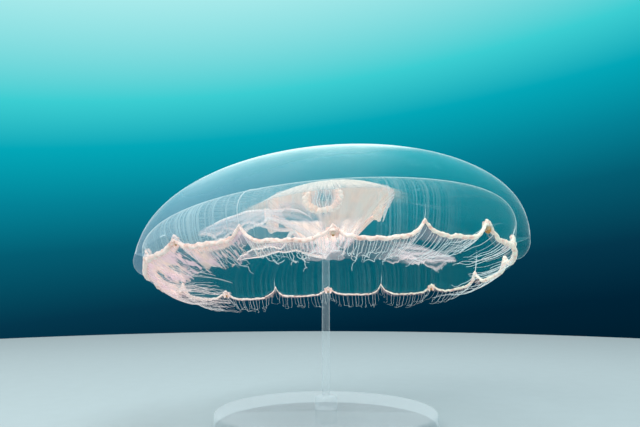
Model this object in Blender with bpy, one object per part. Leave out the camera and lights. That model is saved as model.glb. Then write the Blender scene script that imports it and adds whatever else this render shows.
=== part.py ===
"""Moon jellyfish (Aurelia labiata), a still life-size display model: one adult medusa on a plain stand.

Metres, +Z up. The animal's own frame has its origin at the centre of the rim plane, with the crown along +Z.
A bearing is an angle round the bell: 0 faces -Y, and it grows towards +X. The empty pose_frame carries the
animal's frame to its place over the stand, banked and rolled as it swims. Each body part is one closed solid,
0.3 mm or more clear of its neighbours.
"""

import math

import bmesh
import bpy
import numpy as np
from mathutils import Vector

# Bell
BELL_RADIUS = 0.1494
WIDEST_LEVEL = 0.010  # widest ring over the rim plane
CROWN_HEIGHT = 0.0740  # crown over the widest level
CROWN_POWER = 2.27  # 2 is an ellipse, more is boxier
LEAN = 0.155  # sideways drift towards +X per metre of height
RIM_RADIUS = 0.1406
RIM_WALL = 0.0026  # the bell's wall at its rim
CURL_POWER = 4.0  # how late the wall below the widest ring turns in to the rim
CURL_SHARES = (0.5, 0.8, 1.0)
CROWN_ANGLES = (15, 30, 43, 55, 66, 78)  # degrees from pole to widest ring

# Hollow under the bell
HOLLOW_FOOT = 0.006  # over the rim plane
HOLLOW_WALL_LEVEL = 0.017  # where the hollow is widest
CEILING_RADIUS = 0.1432
CEILING_HEIGHT = 0.036  # the hollow's shoulder over its foot
CEILING_POWER = 4.4
CEILING_SLOPE = 0.9  # the hollow is higher towards +X, share per metre
FULL_SHOULDER = 0.20  # the shoulder is this share higher on its fullest side
FULL_BEARING = 90.0  # degrees, where it is fullest
FULL_WIDTH = 55.0  # degrees
FULL_RADII = (0.052, 0.084)  # it grows fuller between these distances from the axis
CEILING_RINGS = (0.1385, 0.126, 0.106, 0.083, 0.065, 0.051, 0.037, 0.020)
STOMACH_RISE = 0.027  # the hollow rises this much more over the stomach
STOMACH_RADIUS = 0.066
INNER_LEAN = 0.10
ORGAN_SHIFT = -0.003  # the organs hang this far towards -X, fading outwards
ORGAN_SHIFT_RADIUS = 0.090

# Rim: eight sense-organ notches and eight plain ones, alternating
SCALLOPS = 16
NOTCH_RISE = 0.0080
NOTCH_WIDTH = 0.11  # in scallops
NOTCH_POWER = 1.2
SWELL_COUNT = 3  # slow waves round the rim
SWELL_HEIGHT = 0.0040
SWELL_PHASE = 0.12
RIM_COLUMNS = (0.0, 0.08, 0.28, 0.5, 0.72, 0.92)  # where a scallop's corners lie, in scallops
POLE_STEP = 3  # every third column goes on to the rings near the poles
POLE_RADIUS = 0.080

# Margin band and its fringe of tentacles
BAND_HEIGHT = 0.0028
BAND_WIDTH = 0.0026
GAP = 0.0003
RIBBON_STARTS = (0.08, 0.28, 0.44, 0.60, 0.80)  # in scallops
RIBBON_WIDTH = 0.12  # in scallops
RIBBON_STEPS = 3
RIBBON_TIP = 0.28  # tip width over root width
RIBBON_THICK = 0.0008
RIBBON_TIP_THICK = 0.75  # share of the root's
FRINGE_DROP = (0.008, 0.013)  # near side, far side
FRINGE_REACH = (0.016, 0.008, 0.018)  # inwards: everywhere, more at the near side, more at the flanks
REACH_POWER = 1.15  # a ribbon leaves the band downwards, then bends inwards
DROP_POWER = 0.8

# Manubrium: (height, radius) down its flank, then in through the mouth
FLANK = ((0.0560, 0.0495), (0.0520, 0.0430), (0.0460, 0.0370), (0.0390, 0.0305), (0.0320, 0.0240),
         (0.0250, 0.0195), (0.0180, 0.0180), (0.0140, 0.0165))
MOUTH = ((0.0150, 0.0125), (0.0210, 0.0095), (0.0260, 0.0070))
MOUTH_TOP = 0.0275
MANUBRIUM_COLUMNS = 24
STOMACH_RINGS = CEILING_RINGS[:-4:-1]
LOBE_TOP = 0.06  # four lobes in the section, share of the radius, at the top and at the mouth
LOBE_MOUTH = 0.22

# Oral arms: bearing; (distance from the axis, midrib height) at root, middle and tip; the curtain's depth
ARMS = {
    "near_left": (-56.0, (0.0500, 0.0475), (0.0840, 0.0440), (0.1100, 0.0230), 0.016),
    "near_right": (54.0, (0.0245, 0.0250), (0.0650, 0.0220), (0.1050, -0.0020), 0.014),
    "far_right": (128.0, (0.0245, 0.0260), (0.0600, 0.0380), (0.1000, 0.0240), 0.010),
    "far_left": (-128.0, (0.0245, 0.0260), (0.0620, 0.0450), (0.1040, 0.0290), 0.010),
}
ARM_HALF_WIDTH = (0.0065, 0.0125)  # root, widest
ARM_SWELL = (0.12, 0.80)  # start and travel, in half waves, of the swell that sets the width along an arm
ARM_THICK = 0.0016
ARM_LIP_THIN = 0.5  # how much thinner the lips are than the midrib
ARM_CELLS = (5, 6)  # along one length, across
ARM_SPLIT = 0.5  # share of the midrib where the upper length ends
ARM_BREAK = 0.0025  # half the gap between the lengths, as a share
HANG_SHARES = (0.55, 0.45)  # of the curtain's depth: everywhere, more where the arm swells
HANG_POWER = 1.4
RUFFLES = 3.5  # waves of the lip along a whole arm
RUFFLE_HEIGHT = 0.0022
RUFFLE_FLARE = 0.10  # how far the waves widen the lip
RUFFLE_PHASE = 2.1  # between an arm's two lips

# Gonads: horseshoes in the pockets between manubrium and hollow
GONAD_HALF_WIDTH = 0.0125
GONAD_LOW = (0.0460, 0.0395)  # distance from the axis, height, of the closed end
GONAD_HIGH = (0.0505, 0.0560)
GONAD_SWEEP = (-40.0, 220.0)  # degrees round the horseshoe
GONAD_TUBE = 0.0021
GONAD_TIP = 0.55  # tube at the ends of the horseshoe, share of its middle
GONAD_STEPS = 11
GONAD_SIDES = 6

# Rhopalia: sense organs
RHOPALIUM_LENGTH = 0.0019
RHOPALIUM_RADIUS = 0.0012
RHOPALIUM_INSET = 0.0024
RHOPALIUM_DROP = 0.0042  # below the notch's peak
RHOPALIUM_SIDES = 6
RHOPALIUM_SHOULDER = 0.6  # where its two rings lie, share of the half length

# Pose and stand
BANK = math.radians(8.0)  # near side up
ROLL = math.radians(2.2)  # +X side up
RIM_PLANE_HEIGHT = 0.112
CENTRE_SHIFT = (-0.001064, -0.001392)  # brings the whole box over the origin
BASE_RADIUS = 0.085
BASE_THICK = 0.010
BASE_CHAMFER = 0.002
BASE_FOOT_CHAMFER = 0.001
COLLAR_RADIUS = 0.0085
COLLAR_HEIGHT = 0.010
COLLAR_CHAMFER = 0.002
ROD_RADIUS = 0.003
ROD_CHAMFER = 0.001
ROD_CLEARANCE = 0.0014  # rod's end under the roof of the mouth
STAND_SIDES = 36
ROD_SIDES = 12
SHARP = math.radians(50.0)  # edges sharper than this are not shaded smooth


def material(name, colour, roughness, metallic=0.0, alpha=1.0):
    made = bpy.data.materials.new(name)
    made.use_nodes = True
    shader = made.node_tree.nodes["Principled BSDF"]
    shader.inputs["Base Color"].default_value = (*colour, 1.0)
    shader.inputs["Roughness"].default_value = roughness
    shader.inputs["Metallic"].default_value = metallic
    shader.inputs["Alpha"].default_value = alpha
    return made


def notch(bearing):
    """1 at a notch's peak, falling to 0 along the scallop."""
    place = bearing * SCALLOPS / (2 * math.pi)
    off = np.abs((place + 0.5) % 1.0 - 0.5)
    return np.exp(-((off / NOTCH_WIDTH) ** NOTCH_POWER))


def rim_level(bearing):
    """Height of the rim over the rim plane: slow swells, with a peak at each notch."""
    return NOTCH_RISE * notch(bearing) - SWELL_HEIGHT * np.cos(SWELL_COUNT * bearing - SWELL_PHASE)


def crown(radius):
    """Height of the bell's outside over the rim plane."""
    share = np.clip(radius / BELL_RADIUS, 0.0, 1.0)
    return WIDEST_LEVEL + CROWN_HEIGHT * (1.0 - share**CROWN_POWER) ** (1.0 / CROWN_POWER)


def ceiling(radius, bearing):
    """Height of the hollow's roof: a broad shoulder, fuller towards +X, with the stomach's rise on it."""
    share = np.clip(radius / CEILING_RADIUS, 0.0, 1.0)
    off = np.abs((bearing - math.radians(FULL_BEARING) + math.pi) % (2 * math.pi) - math.pi)
    grown = np.clip((radius - FULL_RADII[0]) / (FULL_RADII[1] - FULL_RADII[0]), 0.0, 1.0)
    side = np.exp(-((off / math.radians(FULL_WIDTH)) ** 2))
    full = 1.0 + FULL_SHOULDER * grown**2 * (3.0 - 2.0 * grown) * side
    shoulder = CEILING_HEIGHT * full * (1.0 - share**CEILING_POWER) ** (1.0 / CEILING_POWER)
    rise = STOMACH_RISE * np.exp(-((radius / STOMACH_RADIUS) ** 4))
    return HOLLOW_FOOT + (shoulder + rise) * (1.0 + CEILING_SLOPE * radius * np.sin(bearing))


def polar(radius, bearing, height, drift):
    """Points of the animal's frame from distance to the axis, bearing and height, moved by drift along X."""
    radius, bearing, height, drift = np.broadcast_arrays(radius, bearing, height, drift)
    return np.stack([radius * np.sin(bearing) + drift, -radius * np.cos(bearing), height], axis=-1)


def outside(radius, bearing, height):
    """A point of the bell's outside, which leans towards +X."""
    return polar(radius, bearing, height, LEAN * height)


def inside(radius, bearing, height):
    """A point of the hollow, its organs or the rim: a smaller lean, and the organs' shift near the axis."""
    lean = INNER_LEAN * np.maximum(height - HOLLOW_WALL_LEVEL, 0.0)
    return polar(radius, bearing, height, lean + ORGAN_SHIFT * np.exp(-((radius / ORGAN_SHIFT_RADIUS) ** 4)))


def body(name, finish, points, faces, parent):
    """One closed object from points and faces, turned so that its faces point out."""
    mesh = bpy.data.meshes.new(name)
    mesh.from_pydata([tuple(point) for point in points], [], faces)
    build = bmesh.new()
    build.from_mesh(mesh)
    bmesh.ops.recalc_face_normals(build, faces=build.faces)
    build.to_mesh(mesh)
    build.free()
    mesh.materials.append(finish)
    mesh.shade_smooth()
    mesh.set_sharp_from_angle(angle=SHARP)
    made = bpy.data.objects.new(name, mesh)
    bpy.context.scene.collection.objects.link(made)
    made.parent = parent
    return made


def strip(low, high):
    """Faces between two closed rings of indices, where one's count is a whole multiple of the other's."""
    if len(low) > len(high):
        low, high = high, low
    ratio = len(high) // len(low)
    faces = []
    for column, first in enumerate(low):
        second = low[(column + 1) % len(low)]
        across = [high[(column * ratio + step) % len(high)] for step in range(ratio + 1)]
        if ratio == 1:
            faces.append((first, second, across[1], across[0]))
            continue
        turn = (ratio + 1) // 2
        faces.append((first, second, across[turn]))
        for step in range(ratio):
            faces.append((across[step], first if step < turn else second, across[step + 1]))
    return faces


def ringed_body(name, finish, start, rings, end, parent):
    """A closed body from a pole, rings of points and a second pole."""
    points = [start]
    indices = []
    for ring in rings:
        indices.append(list(range(len(points), len(points) + len(ring))))
        points.extend(ring)
    points.append(end)
    faces = [(0, here, there) for here, there in zip(indices[0], indices[0][1:] + indices[0][:1])]
    for low, high in zip(indices, indices[1:]):
        faces += strip(low, high)
    last = indices[-1]
    faces += [(there, here, len(points) - 1) for here, there in zip(last, last[1:] + last[:1])]
    return body(name, finish, points, faces, parent)


def slab(name, finish, upper, lower, parent):
    """A closed sheet from two grids of points, one over the other, with walls round the edge."""
    rows, columns = upper.shape[:2]
    points = np.concatenate([upper.reshape(-1, 3), lower.reshape(-1, 3)])
    half = rows * columns
    faces = []
    for row in range(rows - 1):
        for column in range(columns - 1):
            corner = row * columns + column
            quad = (corner, corner + 1, corner + columns + 1, corner + columns)
            faces.append(quad)
            faces.append(tuple(half + index for index in reversed(quad)))
    edge = list(range(columns))
    edge += [row * columns + columns - 1 for row in range(1, rows)]
    edge += [(rows - 1) * columns + column for column in range(columns - 2, -1, -1)]
    edge += [row * columns for row in range(rows - 2, 0, -1)]
    for here, there in zip(edge, edge[1:] + edge[:1]):
        faces.append((here, half + here, half + there, there))
    return body(name, finish, points, faces, parent)


def scallop_bearings():
    """Bearings of the bell's columns: a few to each scallop, close together at the notches."""
    steps = [scallop + corner for scallop in range(SCALLOPS) for corner in RIM_COLUMNS]
    return np.array(steps) * 2 * math.pi / SCALLOPS


def build_bell(finish, parent):
    """The umbrella: a thick clear dome, rolled in to a thin scalloped rim, with the hollow under it."""
    bearings = scallop_bearings()
    foot = rim_level(bearings) + BAND_HEIGHT / 2 + GAP
    coarse = bearings[::POLE_STEP]
    rings = []
    for radius in BELL_RADIUS * np.sin(np.radians(CROWN_ANGLES)):
        turns = coarse if radius < POLE_RADIUS else bearings
        rings.append(outside(radius, turns, crown(radius)))
    rings.append(outside(BELL_RADIUS, bearings, WIDEST_LEVEL))
    for share in CURL_SHARES:
        radius = BELL_RADIUS - (BELL_RADIUS - RIM_RADIUS) * share**CURL_POWER
        height = WIDEST_LEVEL + (foot - WIDEST_LEVEL) * share
        rings.append(polar(radius, bearings, height, LEAN * WIDEST_LEVEL * (1.0 - share)))
    rings.append(inside(RIM_RADIUS - RIM_WALL, bearings, foot))
    rings.append(inside(CEILING_RADIUS, bearings, HOLLOW_WALL_LEVEL))
    for radius in CEILING_RINGS:
        turns = coarse if radius < POLE_RADIUS else bearings
        rings.append(inside(radius, turns, ceiling(radius, turns)))
    return ringed_body("bell", finish, outside(0.0, 0.0, crown(0.0)), rings,
                       inside(0.0, 0.0, ceiling(0.0, 0.0)), parent)


def lobed(radius, bearing, height):
    """The manubrium's four-lobed section: widest at the arms' bearings, most so at the mouth."""
    share = np.clip((FLANK[0][0] - height) / (FLANK[0][0] - FLANK[-1][0]), 0.0, 1.0)
    depth = LOBE_TOP + (LOBE_MOUTH - LOBE_TOP) * share
    return radius * (1.0 - depth * np.cos(4 * bearing))


def build_manubrium(finish, parent):
    """Stomach and manubrium: a broad funnel under the hollow's roof, narrowing to a four-cornered mouth."""
    bearings = np.arange(MANUBRIUM_COLUMNS) * 2 * math.pi / MANUBRIUM_COLUMNS
    under = 2 * GAP
    rings = [inside(radius, bearings, ceiling(radius, bearings) - under) for radius in STOMACH_RINGS]
    for height, radius in FLANK + MOUTH:
        rings.append(inside(lobed(radius, bearings, height), bearings, height))
    top = inside(0.0, 0.0, ceiling(0.0, 0.0) - under)
    return ringed_body("manubrium", finish, top, rings, inside(0.0, 0.0, MOUTH_TOP), parent)


def arm_midrib(root, middle, tip, share):
    """Distance from the axis and height along an arm's midrib: a curve from root to tip, pulled by middle."""
    weights = ((1 - share) ** 2, 2 * share * (1 - share), share**2)
    return tuple(sum(w * end[i] for w, end in zip(weights, (root, middle, tip))) for i in (0, 1))


def arm_grid(spec, shares, offset):
    """Points of an arm's curtain: a gutter that hangs from the midrib, its two lips ruffled."""
    bearing, root, middle, tip, depth = spec
    along, across = np.meshgrid(shares, np.linspace(-1.0, 1.0, ARM_CELLS[1] + 1), indexing="ij")
    distance, height = arm_midrib(root, middle, tip, along)
    swell = np.sin(np.pi * np.clip(ARM_SWELL[0] + ARM_SWELL[1] * along, 0.0, 1.0))
    half_width = ARM_HALF_WIDTH[0] + (ARM_HALF_WIDTH[1] - ARM_HALF_WIDTH[0]) * swell
    lip = across**2
    wave = np.sin(2 * np.pi * RUFFLES * along + np.where(across > 0, 0.0, RUFFLE_PHASE)) * lip
    hang = depth * (HANG_SHARES[0] + HANG_SHARES[1] * swell) * np.abs(across) ** HANG_POWER
    side = half_width * across * (1.0 + RUFFLE_FLARE * wave) + offset * across
    lift = offset * (1.0 - ARM_LIP_THIN * lip)
    height = height - hang + RUFFLE_HEIGHT * wave + lift
    return inside(distance, math.radians(bearing) + side / distance, height)


def build_arms(finish, parent):
    """Four oral arms, each in an upper and a lower length."""
    lengths = {"upper": (0.0, ARM_SPLIT - ARM_BREAK), "lower": (ARM_SPLIT + ARM_BREAK, 1.0)}
    for name, spec in ARMS.items():
        for length, (start, end) in lengths.items():
            shares = np.linspace(start, end, ARM_CELLS[0] + 1)
            upper = arm_grid(spec, shares, ARM_THICK / 2)
            lower = arm_grid(spec, shares, -ARM_THICK / 2)
            slab(f"oral_arm_{name}_{length}", finish, upper, lower, parent)


def gonad_path(quarter):
    """Points along a horseshoe whose closed end is low and near the manubrium."""
    sweep = np.radians(np.linspace(*GONAD_SWEEP, GONAD_STEPS))
    rise = 0.5 - 0.5 * np.sin(sweep)
    distance = GONAD_LOW[0] + (GONAD_HIGH[0] - GONAD_LOW[0]) * rise
    height = GONAD_LOW[1] + (GONAD_HIGH[1] - GONAD_LOW[1]) * rise
    return inside(distance, quarter * math.pi / 2 + GONAD_HALF_WIDTH * np.cos(sweep) / distance, height)


def build_gonads(finish, parent):
    """Four horseshoes, each in the pocket between two arms."""
    turns = np.arange(GONAD_SIDES) * 2 * math.pi / GONAD_SIDES
    steps = np.arange(GONAD_STEPS)
    taper = np.clip(np.minimum(steps, steps[::-1]) / 2.0 + GONAD_TIP, 0.0, 1.0)
    for quarter, name in enumerate(("near", "right", "far", "left")):
        path = gonad_path(quarter)
        along = np.gradient(path, axis=0)
        along /= np.linalg.norm(along, axis=1, keepdims=True)
        flat = np.cross(along, polar(1.0, quarter * math.pi / 2, 0.0, 0.0))
        flat /= np.linalg.norm(flat, axis=1, keepdims=True)
        out = np.cross(flat, along)
        round_the_path = (np.cos(turns)[None, :, None] * flat[:, None, :]
                          + np.sin(turns)[None, :, None] * out[:, None, :])
        rings = path[:, None, :] + GONAD_TUBE * taper[:, None, None] * round_the_path
        start = path[0] - along[0] * GONAD_TUBE / 2
        end = path[-1] + along[-1] * GONAD_TUBE / 2
        ringed_body(f"gonad_{name}", finish, start, rings, end, parent)


def build_rhopalia(finish, parent):
    """Eight sense organs, one under every second notch."""
    turns = np.arange(RHOPALIUM_SIDES) * 2 * math.pi / RHOPALIUM_SIDES
    up = np.array([0.0, 0.0, RHOPALIUM_LENGTH])
    for number in range(SCALLOPS // 2):
        bearing = number * 4 * math.pi / SCALLOPS
        height = float(rim_level(bearing)) - RHOPALIUM_DROP
        middle = inside(RIM_RADIUS - RHOPALIUM_INSET, bearing, height)
        out = polar(1.0, bearing, 0.0, 0.0)
        side = np.array([out[1], -out[0], 0.0])
        ring = RHOPALIUM_RADIUS * (np.outer(np.cos(turns), side) + np.outer(np.sin(turns), out))
        rings = [middle + ring * math.sqrt(1 - level**2) + up * level
                 for level in (RHOPALIUM_SHOULDER, -RHOPALIUM_SHOULDER)]
        ringed_body(f"rhopalium_{number + 1}", finish, middle + up, rings, middle - up, parent)


def fringe_step(bearing, share):
    """Inward and downward travel of a tentacle ribbon at a share of its length."""
    near = 0.5 + 0.5 * math.cos(bearing)
    reach = FRINGE_REACH[0] + FRINGE_REACH[1] * math.cos(bearing) + FRINGE_REACH[2] * math.sin(bearing) ** 2
    drop = FRINGE_DROP[0] * near + FRINGE_DROP[1] * (1 - near)
    return reach * share**REACH_POWER, drop * math.sin(share * math.pi / 2) ** DROP_POWER


def grow_ribbon(points, faces, root, middle, half, base):
    """Adds one tentacle ribbon on the band's face root: a tapering square tube along fringe_step's curve."""
    hold = root
    for step in range(1, RIBBON_STEPS + 1):
        share = step / RIBBON_STEPS
        inward, down = fringe_step(middle, share)
        width = half * (1 - (1 - RIBBON_TIP) * share)
        thick = RIBBON_THICK * (1 - (1 - RIBBON_TIP_THICK) * share)
        corners = inside(RIM_RADIUS - BAND_WIDTH - inward, middle + width * np.array([-1.0, 1.0, 1.0, -1.0]),
                         base - down + np.array([0.0, 0.0, thick, thick]))
        new = tuple(range(len(points), len(points) + 4))
        points.extend(corners.tolist())
        for i in range(4):
            j = (i + 1) % 4
            faces.append((hold[i], hold[j], new[j], new[i]))
        hold = new
    faces.append(hold)


def build_margin(finish, parent):
    """Sixteen lengths of margin band, from notch to notch, each with its comb of tentacle ribbons.

    Ribbons and cells between them lie on the bell's own rim corners, so band and bell keep their gap.
    """
    end_gap = GAP / (RIM_RADIUS * 2 * math.pi / SCALLOPS)
    cells = [end_gap]
    for start in RIBBON_STARTS:
        cells += [start, start + RIBBON_WIDTH]
    cells.append(1 - end_gap)
    columns = len(cells)
    under = BAND_HEIGHT / 2
    for scallop in range(SCALLOPS):
        bearings = (scallop + np.array(cells)) * 2 * math.pi / SCALLOPS
        level = rim_level(bearings)
        inner = RIM_RADIUS - BAND_WIDTH
        section = ((RIM_RADIUS, under), (RIM_RADIUS, -under), (inner, -under),
                   (inner, RIBBON_THICK - under), (inner, under))
        points = np.concatenate([inside(radius, bearings, level + rise) for radius, rise in section]).tolist()
        sides = len(section)
        faces = [tuple(side * columns for side in range(sides)),
                 tuple(side * columns + columns - 1 for side in reversed(range(sides)))]
        for column in range(columns - 1):
            for side in range(sides):
                here = side * columns + column
                after = (side + 1) % sides * columns + column
                quad = (here, here + 1, after + 1, after)
                if column % 2 == 1 and side == 2:
                    ends = bearings[column:column + 2]
                    base = float(level[column:column + 2].mean()) - under
                    grow_ribbon(points, faces, quad, float(ends.mean()), float(ends[1] - ends[0]) / 2, base)
                else:
                    faces.append(quad)
        body(f"margin_{scallop + 1:02d}", finish, points, faces, parent)


def turned(name, finish, profile, sides, x, y):
    """A turned piece of the stand, from (radius, height) pairs, with flat ends."""
    turns = np.arange(sides) * 2 * math.pi / sides
    rings = []
    for radius, height in profile:
        level = np.full(sides, height)
        rings.append(np.stack([x + radius * np.cos(turns), y + radius * np.sin(turns), level], axis=-1))
    ringed_body(name, finish, (x, y, profile[0][1]), rings, (x, y, profile[-1][1]), None)


def build_stand(finish, x, y, top):
    """A round base, a collar and one clear rod up into the mouth."""
    turned("stand_base", finish,
           [(BASE_RADIUS - BASE_FOOT_CHAMFER, 0.0), (BASE_RADIUS, BASE_FOOT_CHAMFER),
            (BASE_RADIUS, BASE_THICK - BASE_CHAMFER), (BASE_RADIUS - BASE_CHAMFER, BASE_THICK)],
           STAND_SIDES, x, y)
    foot = BASE_THICK + GAP
    head = foot + COLLAR_HEIGHT
    turned("stand_collar", finish,
           [(COLLAR_RADIUS, foot), (COLLAR_RADIUS, head - COLLAR_CHAMFER),
            (COLLAR_RADIUS - COLLAR_CHAMFER, head)], ROD_SIDES, x, y)
    turned("stand_rod", finish,
           [(ROD_RADIUS, head + GAP), (ROD_RADIUS, top - ROD_CHAMFER), (ROD_RADIUS - ROD_CHAMFER, top)],
           ROD_SIDES, x, y)


def main():
    for old in list(bpy.data.objects):
        bpy.data.objects.remove(old)
    jelly = material("clear_jelly", (0.30, 0.62, 0.66), 0.12, alpha=0.35)
    cream = material("cream_flesh", (0.76, 0.68, 0.60), 0.40, alpha=0.9)
    pink = material("pink_margin", (0.78, 0.62, 0.58), 0.45)
    lilac = material("lilac_gonad", (0.50, 0.58, 0.62), 0.40)
    amber = material("amber_sense_organ", (0.42, 0.22, 0.08), 0.35)
    acrylic = material("clear_acrylic", (0.80, 0.86, 0.88), 0.05, alpha=0.4)

    pose = bpy.data.objects.new("pose_frame", None)
    bpy.context.scene.collection.objects.link(pose)
    pose.rotation_euler = (-BANK, -ROLL, 0.0)
    pose.location = (CENTRE_SHIFT[0], CENTRE_SHIFT[1], RIM_PLANE_HEIGHT)
    bpy.context.view_layer.update()

    build_bell(jelly, pose)
    build_manubrium(cream, pose)
    build_arms(cream, pose)
    build_gonads(lilac, pose)
    build_margin(pink, pose)
    build_rhopalia(amber, pose)

    mouth = pose.matrix_world @ Vector(inside(0.0, 0.0, 0.5 * (MOUTH_TOP + FLANK[-1][0])))
    roof = pose.matrix_world @ Vector(inside(0.0, 0.0, MOUTH_TOP))
    build_stand(acrylic, mouth.x, mouth.y, roof.z - ROD_CLEARANCE)


if __name__ == "__main__":
    main()
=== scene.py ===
"""Looks of the moon jellyfish display model (Aurelia labiata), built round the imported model's frame.

The animal's own frame has its origin at the centre of the rim plane, with the crown along +Z. A bearing is
an angle round the bell: 0 faces -Y, and it grows towards +X. Form.place carries points of that frame to the
model's frame, banked and rolled as the animal swims. Lengths are metres, and a grid is (rows, columns, xyz).
"""

import logging
import math
from collections.abc import Sequence
from dataclasses import dataclass
from enum import Enum
from typing import Any

import bmesh
import bpy
import numpy as np
from mathutils import Euler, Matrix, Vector


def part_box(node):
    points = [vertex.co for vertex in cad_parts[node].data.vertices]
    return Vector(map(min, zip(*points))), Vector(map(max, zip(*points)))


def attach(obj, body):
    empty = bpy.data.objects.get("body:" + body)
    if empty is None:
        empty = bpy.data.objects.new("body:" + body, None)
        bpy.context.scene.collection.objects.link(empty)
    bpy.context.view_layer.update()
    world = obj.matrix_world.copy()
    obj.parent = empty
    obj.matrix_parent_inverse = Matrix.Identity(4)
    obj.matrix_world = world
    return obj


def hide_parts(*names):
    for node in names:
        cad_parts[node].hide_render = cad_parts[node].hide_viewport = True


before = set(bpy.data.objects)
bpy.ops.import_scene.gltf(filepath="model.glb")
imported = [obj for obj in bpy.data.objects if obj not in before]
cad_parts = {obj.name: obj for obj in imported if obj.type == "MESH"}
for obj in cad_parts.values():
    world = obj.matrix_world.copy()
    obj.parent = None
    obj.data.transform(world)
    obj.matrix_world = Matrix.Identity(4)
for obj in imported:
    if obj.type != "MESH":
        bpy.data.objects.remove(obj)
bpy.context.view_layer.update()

LOG = logging.getLogger("moon_jelly")
Array = np.ndarray
Value = np.ndarray | float
Colour = tuple[float, float, float]
Pair = tuple[float, float]
Triple = tuple[float, float, float]
TURN = 2.0 * math.pi
FAR = 180.0  # the far side's bearing, in degrees


class Slot(Enum):
    """The record's material slots."""

    JELLY = "clear_jelly"
    FLESH = "cream_flesh"
    MARGIN = "pink_margin"
    GONAD = "lilac_gonad"
    SENSE = "amber_sense_organ"
    ACRYLIC = "clear_acrylic"


class Quarter(Enum):
    """The four quarters of the bell, as multiples of a quarter turn in bearing."""

    NEAR = 0
    RIGHT = 1
    FAR = 2
    LEFT = 3

    @property
    def bearing(self) -> float:
        """The bearing of the quarter's middle."""
        return self.value * TURN / 4.0


# -----------------------------------------------------------------------------
# Number fields and mesh building
# -----------------------------------------------------------------------------


def smooth(low: Value, high: Value, value: Value) -> Value:
    """An eased step: 0 below low, 1 above high, 3t^2 - 2t^3 between; low may be the larger."""
    share = np.clip((value - low) / (high - low), 0.0, 1.0)
    return share * share * (3.0 - 2.0 * share)


def falloff(offset: Value, width: float, power: float = 2.0) -> Value:
    """1 at no offset, falling to 0 on both sides: exp(-(offset / width)^power)."""
    return np.exp(-((np.abs(offset) / width) ** power))


def away(bearing: Value, degrees: float) -> Value:
    """How far a bearing is past one in degrees, from half a turn back to half a turn on."""
    return (bearing - math.radians(degrees) + math.pi) % TURN - math.pi


def about(bearing: Value, degrees: float, width: float, power: float = 2.0) -> Value:
    """1 at a bearing in degrees, falling to 0 round it over a width in degrees."""
    return falloff(away(bearing, degrees), math.radians(width), power)


def between(ends: Sequence[Value], share: Value) -> Value:
    """The value at a share of the way from one end to the other."""
    return ends[0] + (ends[1] - ends[0]) * share


def unit(vectors: Array) -> Array:
    """The vectors at length 1."""
    return vectors / np.maximum(np.linalg.norm(vectors, axis=-1, keepdims=True), 1e-12)


def stacked(*parts: Value) -> Array:
    """Vectors from their parts, which are spread over one grid first."""
    return np.stack(np.broadcast_arrays(*parts), axis=-1)


def chance(cells: Array, seed: float) -> Array:
    """A repeatable random value for each cell.

    The value is the fractional part of a large multiple of the sine of the cell's own weighted sum.

    Args:
        cells: Whole numbers, the last axis holding a cell's coordinates.
        seed: Shifts the sum, so that two fields differ.

    Returns:
        Values from 0 to 1, one for each cell.
    """
    weights = np.array([12.9898, 78.233, 37.719])[: cells.shape[-1]]
    return np.modf(np.abs(np.sin(cells @ weights + seed)) * 43758.5453)[0]


def clouds(places: Array, seed: float) -> Array:
    """Soft noise: random values at whole coordinates, eased between the eight corners of each cell.

    Args:
        places: Points, in units of the noise's cells.
        seed: Picks the field.

    Returns:
        Values from -1 to 1.
    """
    cell = np.floor(places)
    share = smooth(0.0, 1.0, places - cell)
    total = np.zeros(places.shape[:-1])
    for corner in np.ndindex(2, 2, 2):
        step = np.array(corner)
        weight = np.prod(np.where(step == 1, share, 1.0 - share), axis=-1)
        total += weight * chance(cell + step, seed)
    return 2.0 * total - 1.0


def granules(places: Array, seed: float) -> Array:
    """Rounded grains: 1 minus the squared distance to the nearest of one random point in each cell.

    Args:
        places: Points, in units of the grains' cells.
        seed: Picks the field.

    Returns:
        Values from 0 between grains to 1 on top of one.
    """
    cell = np.floor(places)
    nearest = np.full(places.shape[:-1], np.inf)
    for corner in np.ndindex(3, 3, 3):
        neighbour = cell + np.array(corner) - 1.0
        grain = np.stack([chance(neighbour, seed + axis * 7.1) for axis in range(3)], axis=-1)
        nearest = np.minimum(nearest, ((neighbour + grain - places) ** 2).sum(axis=-1))
    return np.clip(1.0 - nearest, 0.0, 1.0)


def lattice(rows: int, columns: int, wrap: bool, loop: bool = False) -> Array:
    """Quads of a grid of points.

    Args:
        rows: Number of rows.
        columns: Number of columns.
        wrap: Whether the last column joins the first.
        loop: Whether the last row joins the first.

    Returns:
        Vertex numbers, four to each quad.
    """
    here = np.arange(columns if wrap else columns - 1)
    after = (here + 1) % columns
    low = np.arange(rows if loop else rows - 1)[:, None]
    high = (low + 1) % rows * columns
    low = low * columns
    return np.stack([low + here, low + after, high + after, high + here], axis=-1).reshape(-1, 4)


def fans(columns: int, last: int, poles: tuple[int, int]) -> Array:
    """Two fans of triangles that close a tube.

    Args:
        columns: Points in each of the tube's rings.
        last: The number of the last ring's first point.
        poles: The numbers of the points past the first ring and past the last one.

    Returns:
        Vertex numbers, three to each triangle.
    """
    here = np.arange(columns)
    after = (here + 1) % columns
    low = np.stack([after, here, np.full(columns, poles[0])], axis=-1)
    high = np.stack([last + here, last + after, np.full(columns, poles[1])], axis=-1)
    return np.concatenate([low, high])


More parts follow.
